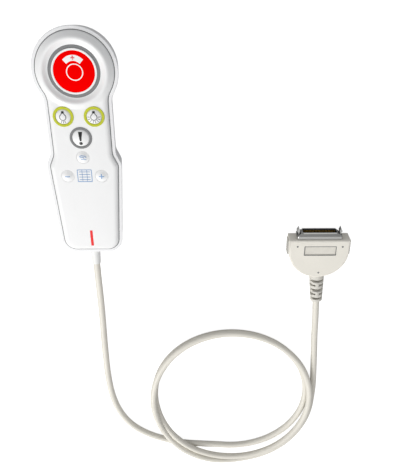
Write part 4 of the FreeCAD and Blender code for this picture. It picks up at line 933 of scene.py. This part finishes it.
# %% Alert, volume and select symbols
wedge = between(line((-1.6, 5.2), (-0.6, -1.9)), line((1.6, 5.2), (0.6, -1.9)))
print_or_shade_on("alert_symbol", [wedge, spot((0, -4.0), 1.35)], "alert_button", "black_ink")
print_or_shade_on("volume_down_symbol", [stroke(line((-1.9, 0), (1.9, 0)), 0.8)], "volume_down_key", "blue_ink")
print_or_shade_on("volume_up_symbol", [stroke(line((-2.1, 0), (2.1, 0)), 0.8), stroke(line((0, -2.1), (0, 2.1)), 0.8)],
         "volume_up_key", "blue_ink")
hand = [stroke(line((-2.6, 1.2), (-0.6, 1.9), (1.6, 1.5), (2.8, 0.2)), 0.6),
        stroke(line((-2.4, 0.1), (0.2, 0.7), (1.2, 0.0)), 0.55),
        stroke(line((-1.6, -1.2), (0.6, -0.9), (2.6, -1.4)), 0.55)]
print_or_shade_on("select_symbol", hand, "select_key", "blue_ink")

# %% List symbol and accent bar on the face
list_half_x, list_half_y = 5.6, 5.0
frame_corners = [(-list_half_x, -list_half_y), (list_half_x, -list_half_y), (list_half_x, list_half_y),
                 (-list_half_x, list_half_y), (-list_half_x, -list_half_y)]
list_lines = [stroke(line((-list_half_x + 1.2, y), (list_half_x - 1.2, y)), 0.55)
              for y in np.linspace(-list_half_y + 1.7, list_half_y - 1.7, 4)]
list_lines += [stroke(line((x, -list_half_y + 0.3), (x, list_half_y - 0.3)), 0.4) for x in (-1.9, 1.9)]
frame_sides = [stroke(line(a, b), 0.6) for a, b in zip(frame_corners, frame_corners[1:])]
print_or_shade_on("list_symbol", list_lines + frame_sides, "front_cover", "blue_ink", (0.0, HEAD[1] - 82.2))
print_or_shade_on("accent_bar", [stroke(line((0, -7.2), (0, 7.2)), 2.2)], "front_cover", "red_ink", (0.6, HEAD[1] - 138.5))

# %% Painted shadows: a line in the handset's seam, a line round the plug's label, spots in its dimples
# A grey line painted into the seam between cover and housing, as painted shadow of the gap.
seam_path = ring_at(LIP - SEAM, 0.0)[:, :2]
seam_path = np.concatenate([seam_path, seam_path[:1]])
print_or_shade_on("painted_seam_shadow", [stroke(seam_path, 0.5)], "rear_housing", "grey_ink_and_shade", (0, 0), RIM_Z)

PLUG_PLACE, HOOD_TOP = (195.8, -86.0), span("plug_hood_front")[1][2]
# A grey line painted round the label recess, as painted shadow of its groove.
LABEL = ((-13.1, -14.4), (14.4, -14.4), (14.4, -5.8), (-13.1, -5.8))
label_sides = [stroke(line(a, b), 0.5) for a, b in zip(LABEL, LABEL[1:] + LABEL[:1])]
painted_label_shadow = print_or_shade_on("painted_label_shadow", label_sides, "plug_hood_front", "grey_ink_and_shade", PLUG_PLACE, HOOD_TOP)
# Grey spots painted in the hood's dimples, as painted shade in the hollows.
DIMPLES = ((-19.3, -5.8), (19.9, -6.0), (0.8, -32.0))
painted_dimple_shadows = print_or_shade_on("painted_dimple_shadows", [spot(dimple, 0.8) for dimple in DIMPLES], "plug_hood_front", "grey_ink_and_shade",
                        PLUG_PLACE, HOOD_TOP)

# %% Painted shadow: a dark cone inside the plug's boot, which shows as shade in its slots
BOOT_LEAN, LEAN_FROM, SHADOW_FROM, SHADOW_TO, SHADOW_R, SHADOW_TIP_R = math.radians(3.5), 20.0, 40.7, 64.2, 4.85, 3.85
slot_shadow, slot_shadow_faces = turned([(0, -SHADOW_TO), (SHADOW_TIP_R, -SHADOW_TO), (SHADOW_R, -SHADOW_FROM), (0, -SHADOW_FROM)],
                          (0.0, HOOD_TOP / 2), 48, along="y")
turn_by = np.array([[math.cos(BOOT_LEAN), -math.sin(BOOT_LEAN), 0], [math.sin(BOOT_LEAN), math.cos(BOOT_LEAN), 0],
                    [0, 0, 1]])
pivot = np.array([0.0, -LEAN_FROM, 0.0])
slot_shadow = (slot_shadow - pivot) @ turn_by.T + pivot + np.array([*PLUG_PLACE, 0.0])
painted_slot_shadow = new_piece("painted_slot_shadow", mesh_of("painted_slot_shadow", [(slot_shadow, slot_shadow_faces)]), finish["slot_shade"],
                      body_of["plug_boot"])

# %% [markdown]
# ## Smooth copies of the CAD pieces that show
# The plug's hood, its metal and its boot already have the right shape. A CAD node is a bag of loose
# triangles, so it looks faceted; a copy whose doubled points are merged can be shaded smooth, except
# at its sharp edges. The copy stands for the node.

# %% Smooth copies
FLAT = math.radians(0.4)


def smooth_copy(node):
    """Copy of a CAD mesh with flat faces made whole; large faces count most in the shading, so that
    flats stay flat up to their rounded edges."""
    mesh = frame["nodes"][node].data.copy()
    work = bmesh.new()
    work.from_mesh(mesh)
    bmesh.ops.remove_doubles(work, verts=work.verts, dist=0.0005 * MM)
    bmesh.ops.dissolve_limit(work, angle_limit=FLAT, verts=work.verts, edges=work.edges)
    work.to_mesh(mesh)
    work.free()
    mesh.shade_smooth()
    mesh.set_sharp_from_angle(angle=SHARP)
    look = finish["boot_light"] if node == "handset_boot" else finish[slot_of[node]]
    piece = new_piece(node + "_skin", mesh, look, body_of[node], [node])
    weighted = piece.modifiers.new("flat shading", "WEIGHTED_NORMAL")
    weighted.keep_sharp = True
    weighted.weight = 100
    even = bpy.data.meshes.new_from_object(piece.evaluated_get(bpy.context.evaluated_depsgraph_get()))
    piece.modifiers.clear()
    piece.data = even
    return piece


COPIED = ["plug_hood_front", "plug_hood_rear", "plug_boot", "connector_shell", "connector_insulator", "left_latch",
          "right_latch", "left_squeeze_button", "right_squeeze_button", "handset_boot", "housing_screws",
          "hood_screws", "call_spring"]
copies = {node: smooth_copy(node) for node in COPIED}

# %% The call button's spring: its heights are read and its copy gets a mesh of its own
spring_low, spring_high = (corner[2] for corner in span("call_spring"))
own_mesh(copies["call_spring"])
print(f"{len(copies)} smooth copies")

# %% Sizes before the end: the handset boot's box and the bounds of all that shows
boot_low, boot_high = span("handset_boot")

low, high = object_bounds()
